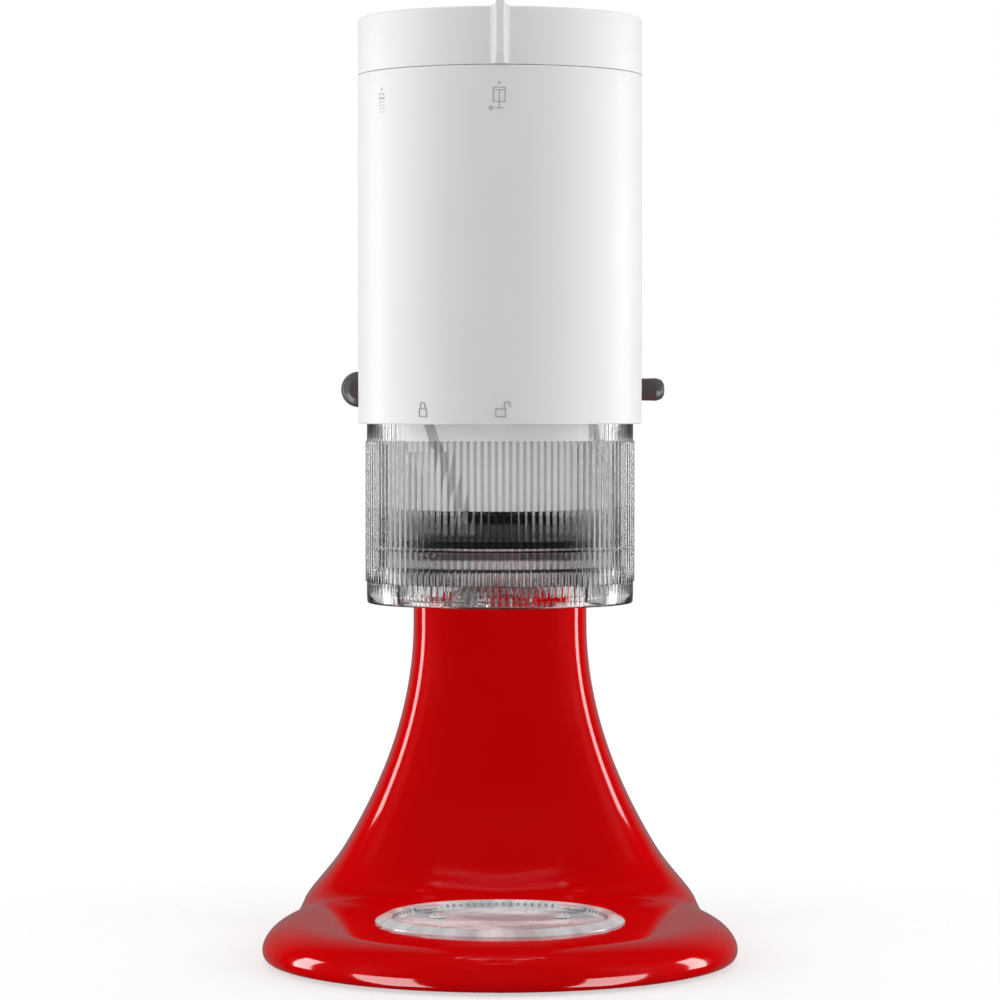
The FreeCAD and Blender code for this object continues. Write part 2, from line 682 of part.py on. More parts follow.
def shaft_stub():
    """The neck and round stub on the shaver's back, which seat in the hub socket."""
    start = ICE_Y + HOUSING_R - 4
    profile = [(7.0, 0), (19.6, 0), (19.6, 5), (25.5, 5), (25.5, HUB_FACE - 2.2 - start),
               (SOCKET_R - 0.04, HUB_FACE - 2.2 - start), (SOCKET_R - 0.04, HUB_FACE + 35 - start),
               (SOCKET_R - 1.5, HUB_FACE + 37 - start), (7.0, HUB_FACE + 37 - start)]
    stub = turned(profile, at(0, start, HUB_Z), Y)
    outside = cyl(HOUSING_R, 80, ice(250))
    plug = cyl(19.6, 5, at(0, start, HUB_Z), Y)
    return stub.cut(outside.cut(plug))


def power_shaft():
    front, rear = ICE_Y + DRUM_R + 0.8, HUB_FACE + 34
    body = cyl(6.96, rear - front, at(0, front, HUB_Z), Y)
    square = block(at(-4.8, rear, HUB_Z - 4.8), at(4.8, rear + 15, HUB_Z + 4.8))
    return body.fuse(square)


def power_pinion():
    radius = DRUM_GEAR_R * POWER_T / DRUM_T
    return bevel(POWER_T, DRUM_T, radius, 5, at(0, ICE_Y, HUB_Z), Y, 6.96, 0.6, -Z, gap=True)


def drum_gear():
    return bevel(DRUM_T, POWER_T, DRUM_GEAR_R, 5, at(0, ICE_Y, HUB_Z), -Z, DRUM_R, 4, Y)


def drum_bush():
    return tube(DRUM_GEAR_R - 1, DRUM_R + 1.2, 5.6, ice(266))


def helical_rib(first, low, high, per_mm):
    inner, outer = DRUM_R - DRUM_WALL - 3.8, DRUM_R - DRUM_WALL + 0.6
    levels = 7
    sections = []
    for i in range(levels):
        z = low + (high - low) * i / (levels - 1)
        a = first - (z - low) * per_mm
        corners = []
        for r, half in ((inner, 1.1), (outer, 2.0), (outer, -2.0), (inner, -1.1)):
            b = math.radians(a) + half / r
            corners.append(V(r * math.cos(b), ICE_Y + r * math.sin(b), z))
        sections.append(Part.makePolygon(corners + corners[:1]))
    return Part.makeLoft(sections, True, False)


def ice_drum():
    """The clear sleeve that carries the ice round, with slanted ribs on its inner wall."""
    sleeve = tube(DRUM_R, DRUM_R - DRUM_WALL, DRUM_TOP - DRUM_LOW, ice(DRUM_LOW))
    ribs = [helical_rib(245 + 90 * i, DRUM_LOW + 2, 286, 0.62) for i in range(4)]
    return sleeve.fuse(ribs)


def press_plate():
    """The spiked plate that pushes the ice down, and its guide stem."""
    profile = [(0, 0), (39, 0), (40, 1), (40, 3), (16, PRESS_THICK - 2), (16, PRESS_THICK), (0, PRESS_THICK)]
    return turned(profile, ice(PRESS_Z)).fuse(cyl(6, 98, ice(PRESS_Z + 6)))


def press_spikes():
    middle = turned([(0, 0), (0.4, 0), (2.2, 7), (0, 7)], ice(PRESS_Z - 7))
    outer = middle.copy()
    outer.translate(V(30, 0, 0))
    return Part.makeCompound([middle] + around(outer, 6, ice(0)))


def press_spring():
    low = PRESS_Z + PRESS_THICK
    height = SPRING_TOP - low
    return coil(11.5, (height - 2.2) / 9.0, height - 2.2, 1.0, ice(low + 1.05))


def lid():
    """The turning lid: a cap with a full-width grip bar that flares into it and runs down its side."""
    top = LID_TOP - LID_LOW
    shell = turned([(HOUSING_R - 4, 0), (HOUSING_R, 0), (HOUSING_R, top - 2.0), (HOUSING_R - 0.6, top - 0.6),
                    (HOUSING_R - 2.0, top), (0, top), (0, top - 3), (HOUSING_R - 4, top - 3)], ice(LID_LOW))
    skirt = tube(HOUSING_R - HOUSING_WALL - 0.2, HOUSING_R - HOUSING_WALL - 2.4, 16, ice(LID_LOW - 14))
    seat = tube(14.5, 12.8, 18, ice(LID_TOP - 20))
    guide = tube(9.2, 6.4, 102, ice(LID_TOP - 104))
    return fuse([shell, skirt, seat, guide, grip_bar()])


def grip_bar():
    """The bar across the lid. Its front end stands out of the lid's side as the pointer."""
    half, flare = 2.0, 5.6
    reach = REACH + ICE_Y
    rise = [V(-flare, 0, LID_TOP - 1), V(-half - 0.9, 0, LID_TOP + 0.6), V(-half, 0, BAR_TOP - 0.6),
            V(-half + 0.6, 0, BAR_TOP), V(half - 0.6, 0, BAR_TOP), V(half, 0, BAR_TOP - 0.6),
            V(half + 0.9, 0, LID_TOP + 0.6), V(flare, 0, LID_TOP - 1)]
    across = Part.Face(Part.makePolygon(rise + rise[:1])).extrude(V(0, 2 * HOUSING_R - 6, 0))
    across.translate(at(0, ICE_Y - HOUSING_R + 3, 0))
    out = [V(-flare, -HOUSING_R + 1.5, 0), V(-half - 0.9, -HOUSING_R - 0.9, 0), V(-half, -reach, 0),
           V(half, -reach, 0), V(half + 0.9, -HOUSING_R - 0.9, 0), V(flare, -HOUSING_R + 1.5, 0)]
    down = Part.Face(Part.makePolygon(out + out[:1])).extrude(V(0, 0, BAR_TOP - LID_LOW - 0.6))
    down.translate(ice(LID_LOW + 0.2))
    corner = block(at(-half, ICE_Y - HOUSING_R - 1, LID_TOP - 3), at(half, ICE_Y - HOUSING_R + 8, BAR_TOP))
    return fuse([across, down, corner])


def cup_wall():
    """The clear blade housing: a ribbed cylinder with a ledge inside and four lugs on its neck."""
    inner = CUP_R - CUP_WALL
    wall = turned([(inner, 0), (CUP_R - 1.5, 0), (CUP_R, 1.5), (CUP_R, CUP_TOP - CUP_LOW),
                   (inner, CUP_TOP - CUP_LOW)], ice(CUP_LOW))
    ledge = turned([(49, 0), (inner + 0.5, -4), (inner + 0.5, 3.8), (49, 3.8)], ice(PLATE_Z - 3.8))
    grooves = tooth_ring(RIB_COUNT, CUP_R - 0.3, CUP_R + RIB_DEPTH, 0.8, 0.0)
    band = Part.Face(Part.makePolygon([V(x, y, 0) for x, y in grooves + grooves[:1]]))
    ribs = band.extrude(V(0, 0, RIB_HIGH - RIB_LOW))
    ribs.translate(ice(RIB_LOW))
    ribs = ribs.cut(cyl(inner + 0.4, 100, ice(170)))
    notch = Part.makeCylinder(60, 10, ice(RIB_HIGH - 4.4), Z, 21).cut(cyl(CUP_R, 12, ice(RIB_HIGH - 5)))
    notch.rotate(ice(0), Z, 227)
    ribs = ribs.cut(notch)
    lugs = tube(HOUSING_R - HOUSING_WALL - 0.15, inner, 2.6, ice(HOUSING_LOW + 2.4))
    lugs = lugs.common(sectors(4, 20, 0))
    return fuse([wall, ledge, ribs, lugs])


def seal_ring():
    return tube(CUP_R - CUP_WALL, CUP_R - CUP_WALL - 1.2, 1.3, ice(190.4))


def ice_chute():
    """The clear skirt under the blade, with three rounded windows."""
    skirt = turned([(43, 0), (45, 0), (45, 14), (49, 17), (49, 21.5), (43, 21.5)], ice(PLATE_Z - 21.5))
    window = block(at(-14, ICE_Y - 60, PLATE_Z - 30), at(14, ICE_Y - 30, PLATE_Z - 12))
    window = window.makeFillet(5, [e for e in window.Edges if abs(e.Length - 30) < 1e-6])
    return skirt.cut(fuse(around(window, 3, ice(0), Z, 35)))


def blade_plate():
    profile = [(0, 0), (53.7, 0), (53.7, 3), (52.5, 3), (52.5, 10), (50.5, 10), (50.5, 3), (22, 3),
               (22, 12.6), (5.2, 12.6), (5.2, 17), (0, 17)]
    plate = turned(profile, ice(PLATE_Z))
    slot = block(at(9, ICE_Y - 5, PLATE_Z - 1), at(48, ICE_Y + 5, PLATE_Z + 20))
    slot = slot.cut(cyl(22.0, 40, ice(PLATE_Z - 2)).cut(cyl(9, 50, ice(PLATE_Z - 4))))
    screws = [cyl(1.5, 30, ice(PLATE_Z - 2) + V(x, 9, 0)) for x in (28, 42)]
    return turn_blade(plate.cut(slot).cut(fuse(screws)))


def turn_blade(shape):
    """Sets the blade and its slot at their angle about the axis."""
    shape.rotate(ice(0), Z, 205)
    return shape


def shaving_blade():
    blade = block(at(24, -3.6, 0), at(46, 5.4, 0.8)).cut(block(at(23, -3.6, 0.35), at(47, -2.2, 2)))
    blade.rotate(at(), X, 14)
    blade.translate(at(0, ICE_Y + 0.2, PLATE_Z + 2.2))
    return turn_blade(blade.cut(block(at(0, ICE_Y + 5, 0), at(60, ICE_Y + 20, 300))))


def blade_clamp():
    clamp = block(at(24, ICE_Y + 5.4, PLATE_Z + 3.02), at(46, ICE_Y + 13, PLATE_Z + 4.6))
    return turn_blade(clamp.cut(fuse([cyl(1.5, 9, ice(PLATE_Z) + V(x, 9, 0)) for x in (28, 42)])))


def blade_screws():
    screws = []
    for x in (28, 42):
        base = ice(PLATE_Z + 4.6) + V(x, 9, 0)
        head = turned([(0, 0), (2.8, 0), (2.8, 0.9), (1.6, 1.6), (0, 1.6)], base)
        slot = block(base + V(-4, -0.4, 1.0), base + V(4, 0.4, 3))
        screws.append(head.fuse(cyl(1.5, 4.6, base - V(0, 0, 4.6))).cut(slot))
    return turn_blade(Part.makeCompound(screws))


NODES = [
    base_casting, rubber_feet, clamp_plate, clamp_screws, hinge_pin, height_screw,
    gearcase, motor_shell, trim_band, rear_cover, rear_screw, hub_socket, attachment_knob,
    motor_stator, motor_bearings, motor_frame, gear_frame, lay_bushes, cord_gland,
    armature_shaft, armature_core, cooling_fan, motor_pinion, lay_shaft, reduction_gear, drive_pinion,
    centre_bush, centre_shaft, crown_gear, planet_ring, planet_carrier, drip_ring,
    beater_shaft, beater_pinion, beater_spring, beater_washer, hub_pinion, hub_shaft,
    speed_lever, speed_knob, lock_lever, lock_knob,
    main_housing, shaft_stub, power_shaft, power_pinion, drum_bush, drum_gear, ice_drum,
    press_plate, press_spikes, press_spring, lid,
    cup_wall, seal_ring, ice_chute, blade_plate, shaving_blade, blade_clamp, blade_screws,
]


def main():
    os.makedirs("parts", exist_ok=True)
    for make in NODES:
        make().exportStep("parts/" + make.__name__ + ".step")


main()
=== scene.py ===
import json
import math

import bmesh
import bpy
from mathutils import Matrix, Vector


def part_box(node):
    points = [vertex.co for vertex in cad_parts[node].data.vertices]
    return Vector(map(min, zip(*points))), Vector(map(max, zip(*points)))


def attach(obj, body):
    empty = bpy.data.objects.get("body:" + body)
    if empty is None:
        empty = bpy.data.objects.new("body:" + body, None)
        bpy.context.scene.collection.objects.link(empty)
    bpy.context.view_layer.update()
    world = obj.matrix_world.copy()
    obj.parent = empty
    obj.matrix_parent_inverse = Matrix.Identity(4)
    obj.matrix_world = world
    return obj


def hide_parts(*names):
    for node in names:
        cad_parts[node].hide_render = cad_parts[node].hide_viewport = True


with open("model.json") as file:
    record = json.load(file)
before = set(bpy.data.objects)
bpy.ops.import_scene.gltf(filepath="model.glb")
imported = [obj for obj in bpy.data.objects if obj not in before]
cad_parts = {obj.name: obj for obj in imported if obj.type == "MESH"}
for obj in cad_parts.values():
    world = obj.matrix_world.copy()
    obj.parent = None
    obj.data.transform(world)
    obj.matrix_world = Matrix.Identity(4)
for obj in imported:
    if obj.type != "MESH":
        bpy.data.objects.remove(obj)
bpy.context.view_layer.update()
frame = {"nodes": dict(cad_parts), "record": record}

scene = bpy.context.scene

# All sizes below are in millimetres and become metres when a mesh is made.
MM = 0.001


def node_box(name):
    low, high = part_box(name)
    return low / MM, high / MM


def middle_of(name):
    low, high = node_box(name)
    return (low + high) / 2


# ---- measures taken from the frame ----

BASE_LOW, BASE_HIGH = node_box("base_casting")
PLATE_LOW, PLATE_HIGH = node_box("clamp_plate")
HOUSE_LOW, HOUSE_HIGH = node_box("main_housing")
LID_LOW, LID_HIGH = node_box("lid")
CUP_LOW, CUP_HIGH = node_box("cup_wall")
DRUM_LOW, DRUM_HIGH = node_box("ice_drum")
CHUTE_LOW, CHUTE_HIGH = node_box("ice_chute")
BLADE_LOW, BLADE_HIGH = node_box("blade_plate")
MOTOR_LOW, MOTOR_HIGH = node_box("motor_shell")
TRIM_LOW, TRIM_HIGH = node_box("trim_band")

ICE_Y = (BLADE_LOW.y + BLADE_HIGH.y) / 2
HOUSING_R = (HOUSE_HIGH.x - HOUSE_LOW.x) / 2
BASE_R = BASE_HIGH.x
DECK_Z = PLATE_LOW.z + 3.0
PIN_LOW, PIN_HIGH = node_box("hinge_pin")
PIN_Y, PIN_Z = (PIN_LOW.y + PIN_HIGH.y) / 2, (PIN_LOW.z + PIN_HIGH.z) / 2
NECK_HALF = PIN_HIGH.x + 1.0
HUB_Z = middle_of("shaft_stub").z


# ---- camera ----

CAMERA_DISTANCE, CAMERA_HEIGHT = 1620.0, 261.0


def make_camera():
    data = bpy.data.cameras.new("camera")
    data.sensor_width = 36.0
    data.lens = 138.0
    data.shift_y = -0.1
    camera = bpy.data.objects.new("camera", data)
    camera.location = (0.0, (ICE_Y - CAMERA_DISTANCE) * MM, CAMERA_HEIGHT * MM)
    camera.rotation_euler = (math.radians(90), 0, 0)
    scene.collection.objects.link(camera)
    scene.camera = camera


# ---- studio ----

def add_node(tree, kind, **values):
    """A new node. values are its inputs by name, with an underscore for a space."""
    made = tree.nodes.new(kind)
    for key, value in values.items():
        made.inputs[key.replace("_", " ")].default_value = value
    return made


def add_math(tree, operation, *values):
    """The output of a Math node that takes numbers or the outputs of other nodes."""
    made = add_node(tree, "ShaderNodeMath")
    made.operation = operation
    for socket, value in zip(made.inputs, values):
        if isinstance(value, (int, float)):
            socket.default_value = value
        else:
            tree.links.new(value, socket)
    return made.outputs[0]


def make_world():
    """White to the eye and through clear plastic; dimmer and darker in front for reflections."""
    world = bpy.data.worlds.new("studio")
    scene.world = world
    world.use_nodes = True
    tree = world.node_tree
    tree.nodes.clear()
    path = add_node(tree, "ShaderNodeLightPath").outputs
    split = add_node(tree, "ShaderNodeSeparateXYZ")
    tree.links.new(add_node(tree, "ShaderNodeTexCoord").outputs["Generated"], split.inputs[0])

    def background(span=None, **values):
        """An even background, or one whose strength goes over a span of y, the way into the room."""
        made = add_node(tree, "ShaderNodeBackground", **values)
        if span:
            ramp = add_node(tree, "ShaderNodeMapRange", **span)
            tree.links.new(split.outputs["Y"], ramp.inputs["Value"])
            tree.links.new(ramp.outputs[0], made.inputs["Strength"])
        return made

    clear_white = (0.92, 0.925, 0.93, 1)
    white = background(Color=(1, 1, 1, 1), Strength=1.0)
    soft = background(Color=(0.55, 0.55, 0.56, 1))
    through = background(Color=clear_white)
    beyond = background(dict(From_Min=-0.25, From_Max=0.15), Color=clear_white)
    mirror = background(dict(From_Min=0.6, From_Max=1.0, To_Min=0.0, To_Max=0.22))
    bent = path["Is Transmission Ray"]
    bounced = add_math(tree, "GREATER_THAN", path["Glossy Depth"], 0.5)
    straight = add_math(tree, "SUBTRACT", 1.0, bounced)
    surface = soft
    for share, light in ((path["Is Glossy Ray"], mirror),
                         (add_math(tree, "MULTIPLY", bent, bounced), beyond),
                         (add_math(tree, "MULTIPLY", bent, straight), through),
                         (path["Is Camera Ray"], white)):
        mix = add_node(tree, "ShaderNodeMixShader")
        tree.links.new(share, mix.inputs[0])
        tree.links.new(surface.outputs[0], mix.inputs[1])
        tree.links.new(light.outputs[0], mix.inputs[2])
        surface = mix
    tree.links.new(surface.outputs[0], add_node(tree, "ShaderNodeOutputWorld").inputs[0])


def area_light(name, place, target, width, height, radiance, in_gloss=True):
    """A softbox of the given size in metres. radiance is what a mirror would show."""
    data = bpy.data.lights.new(name, "AREA")
    data.shape = "RECTANGLE"
    data.size, data.size_y = width, height
    data.energy = radiance * width * height * math.pi
    lamp = bpy.data.objects.new(name, data)
    lamp.location = place
    lamp.rotation_euler = (Vector(target) - Vector(place)).to_track_quat("-Z", "Y").to_euler()
    lamp.visible_camera = lamp.visible_transmission = False
    lamp.visible_glossy = in_gloss
    scene.collection.objects.link(lamp)
    return lamp


def make_lights():
    middle = (0.0, 0.0, 0.25)
    for side in (-1, 1):
        area_light("front_softbox", (side * 1.22, -0.42, 0.72), (0, -0.1, 0.70), 0.50, 1.25, 4.4,
                   in_gloss=False)
        area_light("side_strip", (side * 1.0, 0.26, 0.20), (0, 0.13, 0.20), 0.26, 0.64, 6.5)
        card = area_light("table_glow", (side * 0.60, -0.44, -0.42), (0, 0, -0.42), 0.40, 0.94, 6.5)
        card.visible_diffuse = False
    area_light("overhead", (0.0, 0.35, 1.7), middle, 1.2, 0.9, 1.8, in_gloss=False)
    area_light("fill", (0.0, -2.6, 1.2), middle, 1.6, 1.0, 0.75, in_gloss=False)
    area_light("rear_softbox", (0.0, 2.0, 0.9), middle, 2.0, 1.2, 0.9, in_gloss=False)


def make_floor():
    """A pale floor that fades into the white of the room."""
    mesh = bpy.data.meshes.new("floor")
    reach = 3.0
    corners = [(-reach, -reach, 0), (reach, -reach, 0), (reach, reach, 0), (-reach, reach, 0)]
    mesh.from_pydata(corners, [], [(0, 1, 2, 3)])
    floor = bpy.data.objects.new("floor", mesh)
    floor.visible_glossy = False
    scene.collection.objects.link(floor)
    material = bpy.data.materials.new("pale_floor")
    material.use_nodes = True
    tree = material.node_tree
    surface = tree.nodes["Principled BSDF"]
    surface.inputs["Base Color"].default_value = (0.9, 0.9, 0.9, 1)
    surface.inputs["Roughness"].default_value = 0.6
    surface.inputs["Specular IOR Level"].default_value = 0.1
    clear = add_node(tree, "ShaderNodeBsdfTransparent")
    mix = add_node(tree, "ShaderNodeMixShader")
    where = add_node(tree, "ShaderNodeTexCoord")
    length = add_node(tree, "ShaderNodeVectorMath")
    length.operation = "LENGTH"
    fade = add_node(tree, "ShaderNodeMapRange", From_Min=0.12, From_Max=0.42, To_Min=0.55)
    fade.interpolation_type = "SMOOTHSTEP"
    tree.links.new(where.outputs["Object"], length.inputs[0])
    tree.links.new(length.outputs["Value"], fade.inputs["Value"])
    tree.links.new(fade.outputs[0], mix.inputs[0])
    tree.links.new(surface.outputs[0], mix.inputs[1])
    tree.links.new(clear.outputs[0], mix.inputs[2])
    tree.links.new(mix.outputs[0], tree.nodes["Material Output"].inputs[0])
    mesh.materials.append(material)


# ---- materials ----

class Look:
    """A Principled material with helpers that add procedural detail."""

    def __init__(self, name, color, roughness, metallic=0.0, **sockets):
        self.material = bpy.data.materials.new(name)
        self.material.use_nodes = True
        self.tree = self.material.node_tree
        self.shader = self.tree.nodes["Principled BSDF"]
        self.name, self.color, self.roughness = name, color, roughness
        self.shader.inputs["Base Color"].default_value = (*color, 1)
        self.shader.inputs["Roughness"].default_value = roughness
        self.shader.inputs["Metallic"].default_value = metallic
        for key, value in sockets.items():
            self.shader.inputs[key.replace("_", " ")].default_value = value
        self.height = None

    def node(self, kind, **values):
        return add_node(self.tree, kind, **values)

    def math(self, operation, *values):
        return add_math(self.tree, operation, *values)

    def link(self, source, node, socket=0):
        self.tree.links.new(source, node.inputs[socket])

    def where(self, stretch=(1, 1, 1), middle=(0, 0, 0)):
        """The place on the object in its own frame, stretched."""
        place = self.node("ShaderNodeTexCoord")
        scale = self.node("ShaderNodeMapping")
        scale.inputs["Scale"].default_value = stretch
        scale.inputs["Location"].default_value = tuple(-m * s * MM for m, s in zip(middle, stretch))
        self.link(place.outputs["Object"], scale, "Vector")
        return scale.outputs["Vector"]

    def noise(self, scale, detail=3.0, stretch=(1, 1, 1)):
        made = self.node("ShaderNodeTexNoise", Scale=scale, Detail=detail)
        self.link(self.where(stretch), made, "Vector")
        return made.outputs["Fac"]

    def tint(self, share, other, low, high):
        """Goes from the base colour to another one while share goes from low to high."""
        ramp = self.node("ShaderNodeValToRGB")
        for stop, place, color in zip(ramp.color_ramp.elements, (low, high), (self.color, other)):
            stop.position, stop.color = place, (*color, 1)
        self.link(share, ramp)
        self.link(ramp.outputs[0], self.shader, "Base Color")
        return self

    def vary_color(self, scale, other, detail=4.0, stretch=(1, 1, 1), low=0.35, high=0.65):
        """Mottles the base colour towards another one."""
        return self.tint(self.noise(scale, detail, stretch), other, low, high)

    def around(self, middle=(0, 0, 0)):
        """The angle round an upright line through middle, and the height, both in the object's frame."""
        split = self.node("ShaderNodeSeparateXYZ")
        self.link(self.where(middle=middle), split)
        x, y, z = split.outputs
        return self.math("ARCTAN2", y, x), z

    def line_noise(self, share, detail):
        """Noise along one number."""
        made = self.node("ShaderNodeTexNoise", Scale=1.0, Detail=detail)
        made.noise_dimensions = "1D"
        self.link(share, made, "W")
        return made.outputs["Fac"]

    def painted_glints(self, scale, other):
        """Painted reflection: bands of another colour round the upright middle line, standing in for the glints
        that turned metal shows.
        """
        turn = self.math("MULTIPLY", self.around()[0], scale)
        return self.tint(self.line_noise(turn, 3.0), other, 0.40, 0.62)

    def vary_roughness(self, scale, spread, detail=4.0, stretch=(1, 1, 1)):
        span = self.node("ShaderNodeMapRange", From_Min=0.3, From_Max=0.7,
                         To_Min=max(0.0, self.roughness - spread), To_Max=self.roughness + spread)
        self.link(self.noise(scale, detail, stretch), span, "Value")
        self.link(span.outputs[0], self.shader, "Roughness")
        return self

    def bump(self, source, strength, depth):
        """Adds a height, depth in millimetres, on top of any earlier one."""
        made = self.node("ShaderNodeBump", Strength=strength, Distance=depth * MM)
        self.link(source, made, "Height")
        if self.height is not None:
            self.link(self.height, made, "Normal")
        self.height = made.outputs["Normal"]
        self.link(self.height, self.shader, "Normal")
        return self

    def grain(self, scale, strength, depth, detail=3.0, stretch=(1, 1, 1)):
        return self.bump(self.noise(scale, detail, stretch), strength, depth)

    def painted_rib_shade(self, count, middle, low, high, other):
        """Paints shade into the valleys between upright ribs round a wall, from height low to height high."""
        turn, z = self.around(middle)
        wave = self.math("COSINE", self.math("MULTIPLY", turn, float(count)))
        above, below = self.math("GREATER_THAN", z, low * MM), self.math("LESS_THAN", z, high * MM)
        ribbed = self.math("MULTIPLY", above, below)
        share = self.math("MULTIPLY", self.math("MULTIPLY_ADD", wave, -0.5, 0.5), ribbed)
        mix = self.node("ShaderNodeMix")
        mix.data_type = "RGBA"
        for socket in mix.inputs:
            if socket.type == "RGBA":
                socket.default_value = (*(self.color if socket.name == "A" else other), 1)
        self.link(share, mix, "Factor")
        picked = [socket for socket in mix.outputs if socket.type == "RGBA"][0]
        self.link(picked, self.shader, "Base Color")
        return self

    def rings(self, scale, strength, depth, middle=(0, 0, 0), flat=(1, 1, 0)):
        """Turning marks: fine rings about a line through middle."""
        length = self.node("ShaderNodeVectorMath")
        length.operation = "LENGTH"
        self.link(self.where(flat, middle), length)
        rows = self.math("MULTIPLY", length.outputs["Value"], scale)
        return self.bump(self.line_noise(rows, 2.0), strength, depth)


def make_looks():
    """Every material by its name. A record slot without a look of its own name is added at the end."""
    looks = (
        Look("red_enamel", (0.57, 0.0008, 0.0018), 0.09, Coat_Weight=0.25, Coat_Roughness=0.03)
        .vary_color(9.0, (0.55, 0.0006, 0.0016)).vary_roughness(30.0, 0.02).grain(260.0, 0.05, 0.05),
        Look("white_plastic", (0.80, 0.80, 0.795), 0.42, Specular_IOR_Level=0.4)
        .vary_color(14.0, (0.785, 0.786, 0.785)).vary_roughness(60.0, 0.04).grain(1900.0, 0.10, 0.03),
        Look("clear_plastic", (0.985, 0.99, 0.99), 0.015, Transmission_Weight=1.0, IOR=1.49)
        .vary_roughness(90.0, 0.012).grain(120.0, 0.06, 0.05),
        # the cup's darker rib valleys are painted shade on clear plastic
        Look("cup_plastic", (0.985, 0.99, 0.99), 0.015, Transmission_Weight=1.0, IOR=1.49)
        .painted_rib_shade(RIB_COUNT, (0, ICE_Y, 0), RIB_LOW, RIB_HIGH, (0.38, 0.385, 0.39))
        .vary_roughness(90.0, 0.012).grain(120.0, 0.06, 0.05),
        Look("ice_sleeve_plastic", (0.95, 0.955, 0.96), 0.08, Transmission_Weight=0.6, IOR=1.2)
        .vary_roughness(70.0, 0.03).grain(90.0, 0.10, 0.06),
        # the clear ribs are tinted grey: painted shade for their dark edges
        Look("sleeve_rib_plastic", (0.50, 0.505, 0.51), 0.05, Transmission_Weight=0.85, IOR=1.42)
        .vary_roughness(90.0, 0.02).grain(120.0, 0.10, 0.06),
        Look("thin_clear_plastic", (0.985, 0.99, 0.99), 0.02, Transmission_Weight=1.0, IOR=1.2)
        .vary_roughness(90.0, 0.015).grain(120.0, 0.06, 0.05),
        Look("smoked_plastic", (0.62, 0.625, 0.63), 0.02, Transmission_Weight=0.97, IOR=1.06)
        .vary_roughness(70.0, 0.015).grain(90.0, 0.03, 0.03),
        Look("blade_plate_plastic", (0.012, 0.0125, 0.014), 0.3, Specular_IOR_Level=0.12)
        .vary_color(40.0, (0.02, 0.0205, 0.022)).grain(1500.0, 0.1, 0.02),
        Look("black_plastic", (0.02, 0.0205, 0.022), 0.36)
        .vary_color(40.0, (0.028, 0.0285, 0.03)).vary_roughness(120.0, 0.05).grain(1500.0, 0.10, 0.02),
        # a lighter copy of the black plastic: its grey is a painted sheen on the knobs
        Look("knob_plastic", (0.085, 0.0855, 0.087), 0.3)
        .vary_color(40.0, (0.10, 0.1005, 0.102)).grain(1500.0, 0.10, 0.02),
        Look("grey_plastic", (0.24, 0.245, 0.26), 0.4)
        .vary_color(30.0, (0.2, 0.205, 0.22)).grain(1300.0, 0.15, 0.03),
        Look("black_rubber", (0.016, 0.016, 0.016), 0.7)
        .vary_color(60.0, (0.028, 0.028, 0.028)).grain(900.0, 0.35, 0.06),
        # the clamp ring's grey bands round its axis are painted reflections
        Look("turned_aluminium", (0.95, 0.955, 0.96), 0.24, metallic=0.3)
        .painted_glints(2.6, (0.60, 0.605, 0.61)).vary_roughness(80.0, 0.05).rings(1500.0, 0.25, 0.04)
        .grain(420.0, 0.12, 0.05),
        # the dish's stretched dark grey mottle is painted reflection, not a tone of the metal
        Look("dish_aluminium", (0.90, 0.905, 0.91), 0.3, metallic=0.1, Specular_IOR_Level=0.3)
        .vary_color(26.0, (0.42, 0.424, 0.43), detail=2.0, stretch=(1, 2.2, 1), low=0.38, high=0.64)
        .vary_roughness(80.0, 0.05).rings(1500.0, 0.25, 0.04),
        # a dark copy of the aluminium: the knurl marks' darkness is painted shade
        Look("knurl_aluminium_painted_shade", (0.34, 0.342, 0.345), 0.45, metallic=0.05, Specular_IOR_Level=0.25)
        .vary_color(300.0, (0.27, 0.272, 0.275)).vary_roughness(80.0, 0.06).rings(1500.0, 0.25, 0.04)
        .grain(420.0, 0.12, 0.05),
        Look("cast_aluminium", (0.62, 0.62, 0.63), 0.38, metallic=1.0)
        .vary_color(60.0, (0.52, 0.52, 0.53)).grain(700.0, 0.3, 0.08),
        Look("bright_steel", (0.66, 0.66, 0.67), 0.2, metallic=1.0)
        .vary_color(80.0, (0.58, 0.58, 0.59)).vary_roughness(200.0, 0.06)
        .grain(300.0, 0.15, 0.02, stretch=(1, 8, 1)),
        Look("chrome_trim", (0.78, 0.78, 0.79), 0.07, metallic=1.0)
        .vary_roughness(40.0, 0.03).grain(150.0, 0.04, 0.03),
        Look("gear_steel", (0.44, 0.44, 0.45), 0.3, metallic=1.0)
        .vary_color(70.0, (0.36, 0.35, 0.34)).grain(500.0, 0.2, 0.03),
        Look("gear_nylon", (0.72, 0.70, 0.63), 0.45)
        .vary_color(25.0, (0.67, 0.65, 0.58)).grain(800.0, 0.2, 0.04),
        Look("bearing_bronze", (0.55, 0.36, 0.17), 0.4, metallic=1.0)
        .vary_color(90.0, (0.46, 0.30, 0.15)).grain(900.0, 0.3, 0.05),
        Look("motor_copper", (0.50, 0.22, 0.10), 0.35, metallic=1.0)
        .vary_color(50.0, (0.38, 0.16, 0.07)).grain(60.0, 0.5, 0.4, stretch=(1, 0.05, 1)),
        Look("printed_grey", (0.33, 0.335, 0.34), 0.55)
        .vary_color(300.0, (0.42, 0.425, 0.43)).grain(1500.0, 0.1, 0.01),
    )
    by_name = {look.name: look.material for look in looks}
    by_name["rubber_black"] = by_name["black_rubber"]
    return by_name


# ---- mesh helpers ----

def solid(name, verts, faces):
    """A loose object from millimetre points."""
    mesh = bpy.data.meshes.new(name)
    mesh.from_pydata([Vector(v) * MM for v in verts], [], faces)
    mesh.validate()
    build = bmesh.new()
    build.from_mesh(mesh)
    bmesh.ops.remove_doubles(build, verts=build.verts, dist=1e-6)
    bmesh.ops.recalc_face_normals(build, faces=build.faces)
    build.to_mesh(mesh)
    build.free()
    made = bpy.data.objects.new(name, mesh)
    scene.collection.objects.link(made)
    return made


